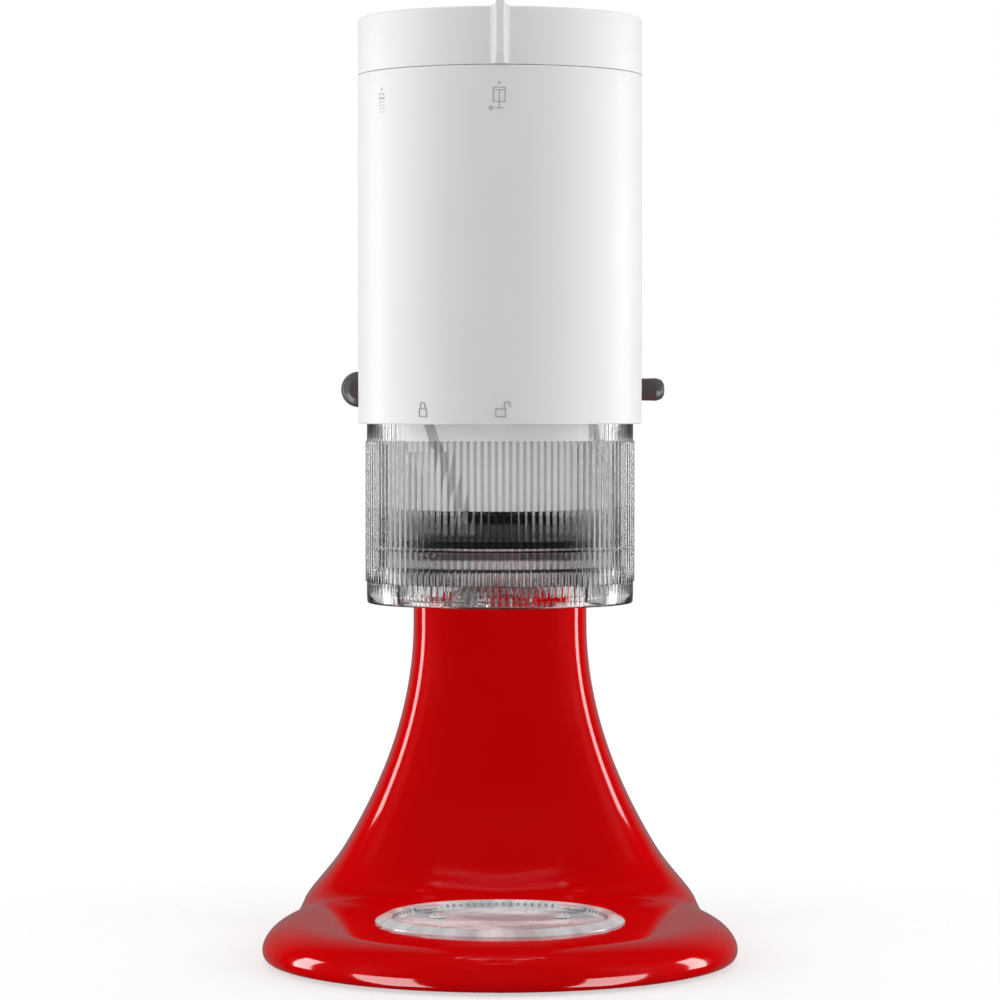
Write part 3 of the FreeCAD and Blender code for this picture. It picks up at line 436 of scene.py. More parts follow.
def piece(name, verts, faces, body, slot, nodes=(), look=None, sharp=32.0, bevel=None):
    """A mesh piece, smooth up to the sharp angle, riding on a body. Its look is its slot's if none is named."""
    made = solid(name, verts, faces)
    made.data.materials.append(LOOKS[look or slot])
    if bevel:
        round_edges = made.modifiers.new("round", "BEVEL")
        round_edges.width, round_edges.segments = bevel * MM, 3
        round_edges.limit_method, round_edges.angle_limit = "ANGLE", math.radians(35)
        bake(made)
    shade(made, sharp)
    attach(made, body)
    if nodes:
        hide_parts(*nodes)
    return made


def shade(made, sharp):
    made.data.polygons.foreach_set("use_smooth", [True] * len(made.data.polygons))
    made.data.set_sharp_from_angle(angle=math.radians(sharp))


def bake(made):
    """Applies every modifier to the mesh."""
    bpy.context.view_layer.update()
    graph = bpy.context.evaluated_depsgraph_get()
    mesh = bpy.data.meshes.new_from_object(made.evaluated_get(graph))
    made.modifiers.clear()
    old = made.data
    made.data = mesh
    bpy.data.meshes.remove(old)


def rounded(profile, radius, steps=5):
    """Rounds every corner of a closed (r, z) outline. A point may carry its own radius as a third value."""
    result = []
    count = len(profile)
    for i, point in enumerate(profile):
        here = Vector(point[:2])
        own = point[2] if len(point) > 2 else radius
        to_last = Vector(profile[i - 1][:2]) - here
        to_next = Vector(profile[(i + 1) % count][:2]) - here
        angle = to_last.angle(to_next)
        reach = own / math.tan(angle / 2) if 0.05 < angle < 3.09 else 0.0
        if own <= 0 or reach <= 0 or here.x < 1e-6:
            result.append(tuple(here))
            continue
        reach = min(reach, 0.49 * to_last.length, 0.49 * to_next.length)
        start, end = here + to_last.normalized() * reach, here + to_next.normalized() * reach
        for k in range(steps + 1):
            t = k / steps
            result.append(tuple((1 - t) ** 2 * start + 2 * t * (1 - t) * here + t ** 2 * end))
    return result


def polar(r, a, z, y=0.0):
    """The point at radius r and angle a round an upright line at y."""
    return Vector((r * math.cos(a), y + r * math.sin(a), z))


def narrow(low, high, stays_low, rounds=30):
    """Halves a span again and again. Its low end moves up to every middle that passes the test."""
    for _ in range(rounds):
        middle = (low + high) / 2
        if stays_low(middle):
            low = middle
        else:
            high = middle
    return low, high


def turn_frame(centre, axis):
    turn = Vector((0, 0, 1)).rotation_difference(Vector(axis)).to_matrix().to_4x4()
    return Matrix.Translation(Vector(centre)) @ turn


def turned(profile, centre, axis=(0, 0, 1), count=128, wave=None):
    """Verts and faces of a solid of revolution from a closed (r, z) outline. wave(angle, z) adds to r."""
    place = turn_frame(centre, axis)
    verts, faces = [], []
    for i in range(count):
        a = 2 * math.pi * i / count
        for r, z in profile:
            k = wave(a, z) if wave else 0.0
            verts.append(place @ Vector(((r + k) * math.cos(a), (r + k) * math.sin(a), z)))
    m = len(profile)
    for i in range(count):
        j = (i + 1) % count
        for k in range(m):
            l = (k + 1) % m
            faces.append((i * m + k, j * m + k, j * m + l, i * m + l))
    return verts, faces


def lathe(name, profile, centre, body, slot, nodes=(), look=None, axis=(0, 0, 1), count=128, fillet=0.4,
          wave=None, sharp=40.0):
    """A turned piece with every corner of its outline rounded."""
    outline = rounded(profile, fillet) if fillet else profile
    return piece(name, *turned(outline, centre, axis, count, wave), body, slot, nodes, look, sharp)


def loft(rings, closed=True):
    """Verts and faces that join rings of equal length, with both ends closed or open."""
    n = len(rings[0])
    verts = [p for ring in rings for p in ring]
    faces = []
    for k in range(len(rings) - 1):
        for i in range(n):
            j = (i + 1) % n
            faces.append((k * n + i, k * n + j, (k + 1) * n + j, (k + 1) * n + i))
    for ring in (0, len(rings) - 1) if closed else ():
        verts.append(sum((Vector(p) for p in rings[ring]), Vector()) / n)
        faces += [(ring * n + i, ring * n + (i + 1) % n, len(verts) - 1) for i in range(n)]
    return verts, faces


def joined(parts):
    """One mesh's verts and faces from several."""
    verts, faces = [], []
    for part_verts, part_faces in parts:
        first = len(verts)
        verts += list(part_verts)
        faces += [tuple(first + i for i in face) for face in part_faces]
    return verts, faces


def cut_with(made, cutters):
    """Takes solids out of a piece, then removes them."""
    for cutter in cutters:
        take = made.modifiers.new("cut", "BOOLEAN")
        take.operation, take.solver, take.object = "DIFFERENCE", "EXACT", cutter
    bake(made)
    for cutter in cutters:
        bpy.data.objects.remove(cutter)


def box_cutter(low, high):
    mesh = bpy.data.meshes.new("cutter")
    build = bmesh.new()
    bmesh.ops.create_cube(build, size=1.0)
    for v in build.verts:
        v.co = Vector([(low[k] if v.co[k] < 0 else high[k]) * MM for k in range(3)])
    build.to_mesh(mesh)
    build.free()
    made = bpy.data.objects.new("cutter", mesh)
    scene.collection.objects.link(made)
    return made


def drum_cutter(r, centre, axis, length):
    return solid("cutter", *turned([(0, 0), (r, 0), (r, length), (0, length)], centre, axis, 96))


# ---- base and column ----

REAR_Y, REAR_HALF, SIDE_Y = BASE_HIGH.y, 97.0, 110.0
NECK_FRONT, NECK_REAR, FLARE_TOP = 90.0, 172.0, 150.0
RIM_IN, RIM_Z = 20.0, BASE_LOW.z + 4.5
COLUMN_POWER = 4.2
# How far the column's foot spreads beyond its neck, and by which power of the drop: sides, front, rear
SIDE_FLARE, FRONT_FLARE, REAR_FLARE = (61.5, 1.95), (34.0, 4.2), (12.0, 2)
POCKET_R, POCKET_DEEP, POCKET_SLOPE = 57.6, 4.0, 3.0


def base_outline(count=720):
    """Points of the base's plan, evenly numbered from the right-hand side, counter-clockwise."""
    def bezier(poles, steps):
        points = []
        for i in range(steps):
            t = i / steps
            w = [(1 - t) ** 3, 3 * t * (1 - t) ** 2, 3 * t * t * (1 - t), t ** 3]
            points.append(Vector([sum(w[k] * poles[k][c] for k in range(4)) for c in range(2)]))
        return points

    half, rear, side, r = REAR_HALF, REAR_Y, SIDE_Y, BASE_R
    deep, wide = side + 0.78 * (rear - side), 0.78 * half
    steps = count // 6
    points = bezier([(r, 0), (r, side * 0.5), (half, side * 0.6), (half, side)], steps)
    points += bezier([(half, side), (half, deep), (wide, rear), (0, rear)], steps)
    points += bezier([(0, rear), (-wide, rear), (-half, deep), (-half, side)], steps)
    points += bezier([(-half, side), (-half, side * 0.6), (-r, side * 0.5), (-r, 0)], steps)
    arc = 2 * steps
    return points + [polar(r, math.pi * (1 + i / arc), 0).xy for i in range(arc)]


def flare(z):
    """Half width, front and rear of the column at height z."""
    drop = max(0.0, FLARE_TOP - z) / FLARE_TOP
    side, front, rear = (reach * drop ** power for reach, power in (SIDE_FLARE, FRONT_FLARE, REAR_FLARE))
    return NECK_HALF + side, NECK_FRONT - front, NECK_REAR + rear


def outside_column(p, z):
    half, front, rear = flare(z)
    middle, depth = (front + rear) / 2, (rear - front) / 2
    return abs(p.x / half) ** COLUMN_POWER + abs((p.y - middle) / depth) ** COLUMN_POWER - 1


def column_height(p):
    """The height at which the flared column's surface stands over a point of the plan."""
    low, high = -60.0, FLARE_TOP
    if outside_column(p, low) > 0:
        return low
    if outside_column(p, high) <= 0:
        return high
    return narrow(low, high, lambda z: outside_column(p, z) <= 0, 36)[0]


def neck_point(angle):
    """The column's section where it is straight, seen from its own middle."""
    half, front, rear = flare(FLARE_TOP)
    middle, depth = (front + rear) / 2, (rear - front) / 2
    c, s = math.cos(angle), math.sin(angle)
    r = (abs(c / half) ** COLUMN_POWER + abs(s / depth) ** COLUMN_POWER) ** (-1 / COLUMN_POWER)
    return Vector((r * c, middle + r * s))


def rim_height(inset):
    if inset >= RIM_IN:
        return DECK_Z
    return RIM_Z + (DECK_Z - RIM_Z) * math.sqrt(max(0.0, 1 - (1 - inset / RIM_IN) ** 2))


def blend_up(a, b, x=0.0):
    """The higher of two heights, with a fillet where they meet that is softer out to the sides."""
    soft = 11.0 + 9.0 * min(1.0, abs(x) / 70.0)
    near = max(0.0, 1 - abs(a - b) / soft)
    return max(a, b) + soft / 4 * near * near


def head_underside(x):
    y, middle, high, half = HEAD_SECTIONS[5]
    return middle - high * (1 - min(1.0, abs(x) / half) ** HEAD_POWER) ** (1 / HEAD_POWER)


def column_top(p):
    """The saddle under the head, which falls away round the hinge pin at the back."""
    under = head_underside(p.x) - 1.5
    if p.y <= PIN_Y:
        return under
    reach = under - PIN_Z
    return PIN_Z + math.sqrt(max(4.0, reach * reach - (p.y - PIN_Y) ** 2))


def deck_height(p):
    """The deck, with the shallow pocket that the clamp plate stands in."""
    if p.length < POCKET_R:
        return DECK_Z - POCKET_DEEP * min(1.0, (POCKET_R - p.length) / POCKET_SLOPE)
    return blend_up(DECK_Z, column_height(p), p.x)


def make_base():
    """The whole casting as one loft: underside, rim, deck, flared column, neck and the saddle on top."""
    outline = base_outline()
    count, start = 240, Vector((0, 62.0))
    tops, edges, inward = [], [], []
    bearings = [math.atan2((p - start).y, (p - start).x) for p in outline]
    for i in range(count):
        angle = -math.pi + 2 * math.pi * (i + 0.5) / count
        k = min(range(len(outline)), key=lambda j: abs(math.remainder(bearings[j] - angle, 2 * math.pi)))
        along = outline[(k + 1) % len(outline)] - outline[k - 1]
        edges.append(outline[k])
        inward.append(Vector((-along.y, along.x)).normalized())
        tops.append(neck_point(angle))

    def row(points):
        return [Vector((p.x, p.y, z)) for p, z in points]

    def drawn_in(inset):
        return [e + n * inset for e, n in zip(edges, inward)]

    rings = [row((p, BASE_LOW.z + rise) for p in drawn_in(inset))
             for rise, inset in ((12.0, 8.0), (1.6, 8.0), (0.0, 7.0), (0.0, 3.2))]
    for k in range(1, 6):
        a = math.pi / 2 * k / 5
        rings.append(row((e + n * 3.2 * (1 - math.sin(a)), RIM_Z - 4.5 * math.cos(a))
                         for e, n in zip(edges, inward)))
    rim_steps, deck_steps, climb_steps, neck_steps = 16, 22, 34, 12
    for k in range(1, rim_steps + 1):
        inset = RIM_IN * (1 - math.cos(math.pi / 2 * k / rim_steps))
        rings.append(row((p, blend_up(rim_height(inset), column_height(p), p.x)) for p in drawn_in(inset)))
    shores = drawn_in(RIM_IN)
    feet = []
    for p, top in zip(shores, tops):
        low = 0.0
        if column_height(p) < DECK_Z:
            low = narrow(0.0, 1.0, lambda t: outside_column(p.lerp(top, t), DECK_Z) > 0)[0]
        feet.append(low)
    for k in range(1, deck_steps + 1):
        points = [p.lerp(top, t * k / deck_steps) for p, top, t in zip(shores, tops, feet)]
        rings.append(row((p, deck_height(p)) for p in points))
    starts = [max(column_height(p.lerp(top, t)), DECK_Z) for p, top, t in zip(shores, tops, feet)]
    for k in range(1, climb_steps + 1):
        share = (k / climb_steps) ** 1.25
        points = []
        for p, top, t, start_z in zip(shores, tops, feet, starts):
            z = start_z + (FLARE_TOP - start_z) * share
            here = p.lerp(top, narrow(t, 1.0, lambda s: outside_column(p.lerp(top, s), z) > 0)[1])
            points.append((here, blend_up(DECK_Z, z, here.x)))
        rings.append(row(points))
    for k in range(1, neck_steps + 1):
        rings.append(row((p, FLARE_TOP + (column_top(p) - 1.0 - FLARE_TOP) * k / neck_steps) for p in tops))
    middle = Vector((0, (NECK_FRONT + NECK_REAR) / 2))
    for shrink in (0.99, 0.96, 0.88, 0.76, 0.6, 0.4, 0.2):
        rings.append(row((p, column_top(p)) for p in (middle.lerp(q, shrink) for q in tops)))
    made = piece("stand_casting", *loft(rings), "stand", "red_enamel", ["base_casting"])
    cut_with(made, [box_cutter((-24.5, PIN_Y - 19, PIN_Z - 17), (24.5, 220, 300))])
    shade(made, 38)


def make_clamp_plate():
    low = PLATE_LOW.z
    dish = [(0, 1.0), (30, 1.4), (49.3, 1.9), (49.3, 0.2), (0, 0.2)]
    lathe("clamp_dish", dish, (0, 0, low), "stand", "bright_steel", look="dish_aluminium", count=160,
          fillet=0.2)
    profile = [(49.0, 1.7), (50.4, 4.4, 0.6), (51.6, 5.5, 0.5), (53.3, 5.6, 0.6), (58.1, 3.1, 0.7), (58.1, 0),
               (49.0, 0)]
    lathe("bowl_clamp_plate", profile, (0, 0, low), "stand", "bright_steel", ["clamp_plate"],
          look="turned_aluminium", count=192, fillet=0.3, sharp=50)
    tabs = []
    for k in range(4):
        rings = []
        for r, z0, z1 in ((51.2, 3.4, 5.2), (47.6, 3.7, 5.0), (44.2, 4.3, 4.9)):
            spread = 0.145 if r > 46 else 0.12
            across = [(side, z0) for side in (-1, -0.5, 0, 0.5, 1)]
            across += [(side, z1) for side in (1, 0.5, 0, -0.5, -1)]
            rings.append([polar(r, math.radians(45 + 90 * k) + side * spread, low + z) for side, z in across])
        tabs.append(loft(rings))
    piece("clamp_tabs", *joined(tabs), "stand", "bright_steel", look="turned_aluminium", bevel=0.3)
    marks = []
    for k in range(90):
        a = 2 * math.pi * k / 90
        c, s = math.cos(a), math.sin(a)
        t = Vector((-s, c, 0)) * 0.55
        foot, crest = polar(49.5, a, low + 3.1), polar(50.25, a, low + 4.5)
        corners = [foot - t, foot + t, crest + t, crest - t]
        inward = Vector((-c, -s, 0)) * 0.22
        marks.append((corners + [p + inward for p in corners],
                      [(0, 1, 2, 3), (4, 7, 6, 5), (0, 4, 5, 1), (1, 5, 6, 2), (2, 6, 7, 3), (3, 7, 4, 0)]))
    # the knurl ridges wear the darker aluminium: painted shade in the knurling
    piece("clamp_knurl", *joined(marks), "stand", "bright_steel", look="knurl_aluminium_painted_shade", sharp=20)


# ---- head ----

# y, centre height, half height and half width of the head's sections, as the CAD head has them
HEAD_SECTIONS = [(MOTOR_LOW.y, 291, 31, 33), (-78, 290.5, 43, 43), (-50, 290, 56, 52), (0, 290, 62, 58),
                 (60, 290.5, 62.5, 59), (125, 290.5, 62, 58), (172, 293, 57, 54), (206, 296, 46, 44),
                 (MOTOR_HIGH.y, 298, 30, 29)]
HEAD_POWER = 2.4


def head_at(y):
    """Centre height, half height and half width of the head at y, by a smooth curve through the sections."""
    last = len(HEAD_SECTIONS) - 1
    k = max(0, min(last - 1, sum(1 for s in HEAD_SECTIONS[1:] if s[0] <= y)))
    before, a, b, after = (HEAD_SECTIONS[max(0, min(last, k + d))] for d in (-1, 0, 1, 2))
    span = b[0] - a[0]
    t = min(1.0, max(0.0, (y - a[0]) / span))
    values = []
    for c in (1, 2, 3):
        slope_a = (b[c] - before[c]) / (b[0] - before[0]) if k > 0 else 1.35 * (b[c] - a[c]) / span
        slope_b = (after[c] - a[c]) / (after[0] - a[0]) if k < last - 1 else 1.35 * (b[c] - a[c]) / span
        values.append((2 * t ** 3 - 3 * t ** 2 + 1) * a[c] + (t ** 3 - 2 * t ** 2 + t) * span * slope_a
                      + (3 * t ** 2 - 2 * t ** 3) * b[c] + (t ** 3 - t ** 2) * span * slope_b)
    return values


def head_x(y, z, grow=0.0):
    """Half width of the head at a height."""
    middle, high, half = head_at(y)
    return (half + grow) * max(0.0, 1 - abs((z - middle) / (high + grow)) ** HEAD_POWER) ** (1 / HEAD_POWER)


def head_arc(y, z_edge, up, steps=40):
    """Points of the head's section on one side of a level, from the right edge over to the left one."""
    middle, high, half = head_at(y)
    power = 2 / HEAD_POWER
    rise = max(-1.0, min(1.0, (z_edge - middle) / high))
    first = math.asin(math.copysign(abs(rise) ** (1 / power), rise))
    if not up:
        first = -first
    points = []
    for i in range(steps + 1):
        a = first + (math.pi - 2 * first) * i / steps
        c, s = math.cos(a), math.sin(a)
        z = high * math.copysign(abs(s) ** power, s)
        points.append(Vector((half * math.copysign(abs(c) ** power, c), y, middle + (z if up else -z))))
    return points


def head_stations(count=84):
    """Places along the head, closer together towards its ends."""
    low, high = HEAD_SECTIONS[0][0], HEAD_SECTIONS[-1][0]
    return [low + (high - low) * (0.5 - 0.5 * math.cos(math.pi * i / count)) for i in range(count + 1)]


def head_cap(row, y):
    """A flat end wall for an open shell: the last section drawn in towards its own middle."""
    middle = head_at(y)[0]
    return [[Vector((p.x * shrink, y, middle + (p.z - middle) * shrink)) for p in row]
            for shrink in (0.985, 0.94, 0.8, 0.62, 0.4)]


def shell_grid(rows):
    n = len(rows[0])
    verts = [p for row in rows for p in row]
    faces = []
    for k in range(len(rows) - 1):
        for i in range(n - 1):
            faces.append((k * n + i, k * n + i + 1, (k + 1) * n + i + 1, (k + 1) * n + i))
    return verts, faces


def head_half(name, z_edge, up, node, cutters):
    """The head's shell above or below a level, as a wall with holes in it."""
    rows = [head_arc(y, z_edge, up) for y in head_stations()]
    front = head_cap(rows[0], HEAD_SECTIONS[0][0])
    rear = head_cap(rows[-1], HEAD_SECTIONS[-1][0])
    made = piece(name, *shell_grid(front[::-1] + rows + rear), "head", "red_enamel", [node])
    inward = made.modifiers.new("wall", "SOLIDIFY")
    inward.thickness, inward.offset = 2.6 * MM, -1
    bake(made)
    cut_with(made, cutters)
    shade(made, 38)


def make_head():
    cover_low, cover_high = node_box("rear_cover")
    cover_z, cover_r = (cover_low.z + cover_high.z) / 2, (cover_high.z - cover_low.z) / 2
    knob_y = middle_of("attachment_knob").y

    def end_holes():
        """The hub's hole in the front and the cover's hole in the rear."""
        return [drum_cutter(22.6, (0, HEAD_SECTIONS[0][0] - 12, HUB_Z), (0, 1, 0), 60),
                drum_cutter(cover_r + 0.2, (0, cover_low.y - 4, cover_z), (0, 1, 0), 40)]

    head_half("head_top", TRIM_HIGH.z, True, "motor_shell",
              end_holes() + [drum_cutter(4.4, (30, knob_y, HUB_Z), (1, 0, 0), 40)])
    slots = []
    for lever, knob in (("speed_lever", "speed_knob"), ("lock_lever", "lock_knob")):
        side = math.copysign(1, node_box(knob)[0].x)
        first = node_box(lever)[0].y - (3 if side > 0 else 4)
        near, far = sorted((side * 46, side * 70))
        slots.append(box_cutter((near, first, 263.4), (far, 62, 268.6)))
    skirt_hole = drum_cutter(41.0, (0, 0, 180), (0, 0, 1), 53)
    head_half("head_case", TRIM_LOW.z, False, "gearcase", end_holes() + [skirt_hole] + slots)

    # the height at which the head is measured, how far the ribbon stands out there, and its own height
    low, high = TRIM_LOW.z, TRIM_HIGH.z
    middle = (low + high) / 2
    ribbon = [(low + 0.2, -2.4, low), (low, 0.25, low), (low + 0.6, 0.55, low + 0.6),
              (middle, 0.55 + 0.1, middle), (high - 0.6, 0.55, high - 0.6), (high, 0.25, high),
              (high - 0.2, -2.4, high)]
    sides = []
    for side in (-1, 1):
        rings = [[Vector((side * head_x(y, at, grow), y, z)) for at, grow, z in ribbon]
                 for y in head_stations()]
        sides.append(loft(rings))
    band = piece("trim_ribbon", *joined(sides), "head", "chrome_trim", ["trim_band"])
    shade(band, 40)
    skirt = [(41.2, 0), (44.0, 0, 1.0), (44.6, 14, 8), (50.0, 34, 0), (38, 34, 0), (41.2, 22, 0)]
    lathe("planetary_skirt", skirt, (0, 0, 213), "head", "red_enamel", count=160, fillet=0.8)
    lathe("gearbox_floor", [(9, 0), (41.4, 0), (41.4, 4), (9, 4)], (0, 0, 233), "head", "cast_aluminium",
          fillet=0.3)
    lug_half = 24.0
    lug = [(0, -lug_half), (14.6, -lug_half), (16, -lug_half + 1.4), (16, lug_half - 1.4), (14.6, lug_half),
           (0, lug_half)]
    lathe("hinge_lug", lug, (0, PIN_Y, PIN_Z), "head", "red_enamel", axis=(1, 0, 0), fillet=0, count=96)
    corners = [(1, -0.8), (1, 0), (1, 0.8), (0.85, 1), (0, 1), (-0.85, 1), (-1, 0.8), (-1, 0), (-1, -0.8),
               (-0.85, -1), (0, -1), (0.85, -1)]
    web = []
    for rise, grow in ((0, 0), (12, 0), (20, 1.0), (27, 4.0), (33, 9.0)):
        half, deep = lug_half - 0.4 + grow, 15 + grow
        web.append([Vector((x * half, PIN_Y + y * deep, PIN_Z + rise)) for x, y in corners])
    piece("hinge_web", *loft(web), "head", "red_enamel", sharp=50)


# ---- ice shaver ----

def make_housing():
    low, tall = HOUSE_LOW.z, HOUSE_HIGH.z - HOUSE_LOW.z
    r, wall = HOUSING_R, 2.8
    profile = [(r - wall, 0, 0.3), (r - 0.25, 0, 0.7), (r, 40, 0)]
    profile += [(r, tall - (tall - 40) * k / 12, 0) for k in range(11, 0, -1)]
    profile += [(r, tall, 0.35), (r - wall, tall, 0.3)]
    made = lathe("shaver_housing", profile, (0, ICE_Y, low), "shaver", "white_plastic", ["main_housing"],
                 count=256, fillet=0.3, sharp=32)
    cut_with(made, [drum_cutter(20.0, (0, ICE_Y + 52, HUB_Z), (0, 1, 0), 12)])
    shade(made, 30)
    made.visible_glossy = False
    ledge = [(r - wall + 0.3, 11), (r - wall + 0.3, 15), (48.2, 15), (48.2, 11)]
    lathe("housing_ledge", ledge, (0, ICE_Y, low), "shaver", "white_plastic")
    collar = [(19.4, 0), (19.4, 5), (24.2, 6.0, 0.6), (25.5, 8.5, 1.2), (25.5, 18.6, 0.8), (17.4, 18.6),
              (17.4, 54), (16.0, 56, 0.5), (7.0, 56), (7.0, 0)]
    lathe("shaver_neck", collar, (0, node_box("shaft_stub")[0].y, HUB_Z), "shaver", "white_plastic",
          ["shaft_stub"], axis=(0, 1, 0), count=160)


def on_wall(u, v, r):
    """A point on the housing's front, u to the right along the wall and v up, in millimetres."""
    return polar(r, -math.pi / 2 + u / HOUSING_R, v, ICE_Y)


def printed(name, strokes, centre_u, centre_v, width=0.34):
    """Thin printed lines on the housing, as closed strips that follow its curve."""
    parts = []
    for stroke in strokes:
        points = [Vector(point) for point in stroke]
        closed = (points[0] - points[-1]).length < 1e-6
        rows = []
        for i, p in enumerate(points):
            before = points[i - 1] if i else (points[-2] if closed else p)
            after = points[i + 1] if i < len(points) - 1 else (points[1] if closed else p)
            along = (after - before).normalized()
            side = Vector((-along.y, along.x)) * width / 2
            if 0 < i < len(points) - 1 or closed:
                turn = (p - before).angle(after - p, 0.0)
                side = side / max(0.5, math.cos(turn / 2))
            edge = ((p + side, 0.07), (p - side, 0.07), (p - side, -0.05), (p + side, -0.05))
            rows.append([on_wall(centre_u + q.x, centre_v + q.y, HOUSING_R + out) for q, out in edge])
        parts.append(loft(rows, not closed))
    piece(name, *joined(parts), "shaver", "grey_plastic", look="printed_grey", sharp=20)


def arc_points(cx, cy, r, start, end, count=10):
    """Points of an arc between two angles in degrees."""
    turns = (math.radians(start + (end - start) * i / count) for i in range(count + 1))
    return [(cx + r * math.cos(a), cy + r * math.sin(a)) for a in turns]


def ring_points(cx, cy, r, count=16):
    return [(cx + r * math.cos(2 * math.pi * i / count), cy + r * math.sin(2 * math.pi * i / count))
            for i in range(count + 1)]


def make_marks():
    """Generic marks: a shut and an open padlock for the cup, loading and shaving for the lid."""
    body = [(-1.7, -3.0), (1.7, -3.0), (1.7, 0.2), (-1.7, 0.2), (-1.7, -3.0)]
    shackle = [(-1.1, 0.2), (-1.1, 1.8)] + arc_points(0, 1.8, 1.1, 180, 0)[1:] + [(1.1, 0.2)]
    printed("mark_locked", [body, shackle], -33.4, 257.2)
    wide = [(-2.9, -3.0), (1.0, -3.0), (1.0, 0.2), (-2.9, 0.2), (-2.9, -3.0)]
    raised = [(0.6, 0.2), (0.6, 2.0)] + arc_points(1.8, 2.0, 1.2, 180, 0)[1:] + [(3.0, 0.9)]
    printed("mark_unlocked", [wide, raised], 1.2, 257.2)
    block = [(-2.4, -1.6), (2.4, -1.6), (2.4, 4.2), (-2.4, 4.2), (-2.4, -1.6)]
    lid_line = [(-2.4, 3.2), (2.4, 3.2)]
    rod = [(0, 3.2), (0, -4.2)]
    foot = [(-1.7, -4.2), (1.7, -4.2)]
    drop = [(-4.2, -4.2), (-3.4, -3.3), (-2.6, -4.2), (-3.4, -4.9), (-4.2, -4.2)]
    top = HOUSE_HIGH.z
    printed("mark_load", [block, lid_line, rod, foot, drop, ring_points(0, 6.1, 0.3)], -0.3, top - 13.5,
            width=0.36)
    hood = [(-2.0, 0.6), (-1.2, 2.6), (1.2, 2.6), (2.0, 0.6), (-2.0, 0.6)]
    flakes = [[(x, y), (x + 0.7, y)] for x in (-1.8, -0.3, 1.1) for y in (-0.8, -2.2, -3.6, -5.0)]
    printed("mark_shave", [hood, ring_points(0, 4.4, 0.3)] + flakes, -57.2, top - 12.5, width=0.36)


BAR_HALF, BAR_ROOT = 1.9, 4.9
BAR_SHARES = (0.0, 0.08, 0.16, 0.26, 0.38, 0.5, 0.64, 0.78, 0.88, 0.94, 0.98, 1.0)


def bar_half(share, root=BAR_ROOT):
    """Half width of the grip bar from its root (0) to its crown (1): a concave flare, then a rounded edge."""
    flare_out = (root - BAR_HALF) * max(0.0, 1 - share / 0.6) ** 2.2
    crown = max(0.0, (share - 0.8) / 0.2)
    return BAR_HALF + flare_out - 0.75 * (1 - math.sqrt(max(0.0, 1 - crown * crown)))


def mirrored(rows):
    """A closed outline from rows of (half width, depth)."""
    return rows + [(-x, d) for x, d in reversed(rows)]


LID_ROOT = 4.4


def make_lid():
    low, crown = HOUSE_HIGH.z + 0.2, LID_HIGH.z
    top = crown - 2.4
    tall, r = top - low, HOUSING_R
    cap = [(r - 4, 0, 0.3), (r, 0, 0.35), (r, tall * 0.4, 0), (r, tall, 1.0), (r - 8, tall + 0.05, 0),
           (0, tall), (0, tall - 3), (r - 4, tall - 3)]
    lathe("lid_cap", cap, (0, ICE_Y, low), "lid", "white_plastic", ["lid"], count=256, fillet=0.3, sharp=30)
    for name, inner, outer, foot, end, fillet in (("lid_skirt", r - 5.2, r - 3.0, -14, 2, 0.5),
                                                  ("lid_guide", 6.4, 9.2, -80, tall - 2, 0.4),
                                                  ("lid_spring_seat", 12.8, 14.5, 4, tall - 2, 0.3)):
        tube = [(inner, foot), (outer, foot), (outer, end), (inner, end)]
        lathe(name, tube, (0, ICE_Y, low), "lid", "white_plastic", fillet=fillet)

    # the upright bar down the front, then the bar over the top
    root, tip = r - 0.5, ICE_Y - LID_LOW.y
    levels = [(low + 0.3, 1.9), (low + 0.9, 1.7), (low + 3.6, 0.25), (low + 4.6, 0.0), (low + 9, 0),
              (low + 15, 0), (top - 1.2, 0), (top - 0.3, 0)]
    levels += [(top + (crown - top) * k, 0.9 * max(0.0, (k - 0.6) / 0.4) ** 2) for k in BAR_SHARES[1:]]
    rings = []
    for z, cut in levels:
        over = bar_half((z - top) / (crown - top), LID_ROOT) if z > top else 99.0
        outline = mirrored([(min(bar_half(share), over), root + (tip - root) * share) for share in BAR_SHARES])
        rings.append([Vector((x, ICE_Y - min(d, tip - cut), z)) for x, d in outline])
    parts = [loft(rings)]
    over_top = mirrored([(bar_half(share, LID_ROOT), top - 0.2 + (crown - top + 0.2) * share)
                         for share in BAR_SHARES])
    last = r - 3.0
    rings = []
    for y, sink in ((-root, 0), (-root + 3, 0), (-30, 0), (0, 0), (last - 12, 0), (last - 6, 0.35),
                    (last - 2.5, 1.2), (last, 2.3)):
        rings.append([Vector((x, ICE_Y + y, max(top - 0.25, z - sink))) for x, z in over_top])
    parts.append(loft(rings))
    piece("lid_grip", *joined(parts), "lid", "white_plastic", sharp=42)


# ---- ice cup ----

RIB_LOW, RIB_HIGH, RIB_COUNT, RIB_DEPTH = 184.5, 244.0, 120, 0.6
RIB_FOOT = node_box("blade_clamp")[1].z + 0.8


def rib_wave(a, z):
    """How far the cup's ribs stand out, with the gap in them that marks the cup's position."""
    if z < RIB_LOW - 0.1 or z > RIB_HIGH + 0.1:
        return 0.0
    turn = math.degrees(a) % 360
    top = RIB_HIGH - 4.4 if 227 < turn < 248 else RIB_HIGH
    fade = max(0.0, min(1.0, (z - RIB_LOW) / 0.3, (top - z) / 0.3))
    return fade * RIB_DEPTH * (0.5 + 0.5 * math.cos(RIB_COUNT * a)) ** 0.4


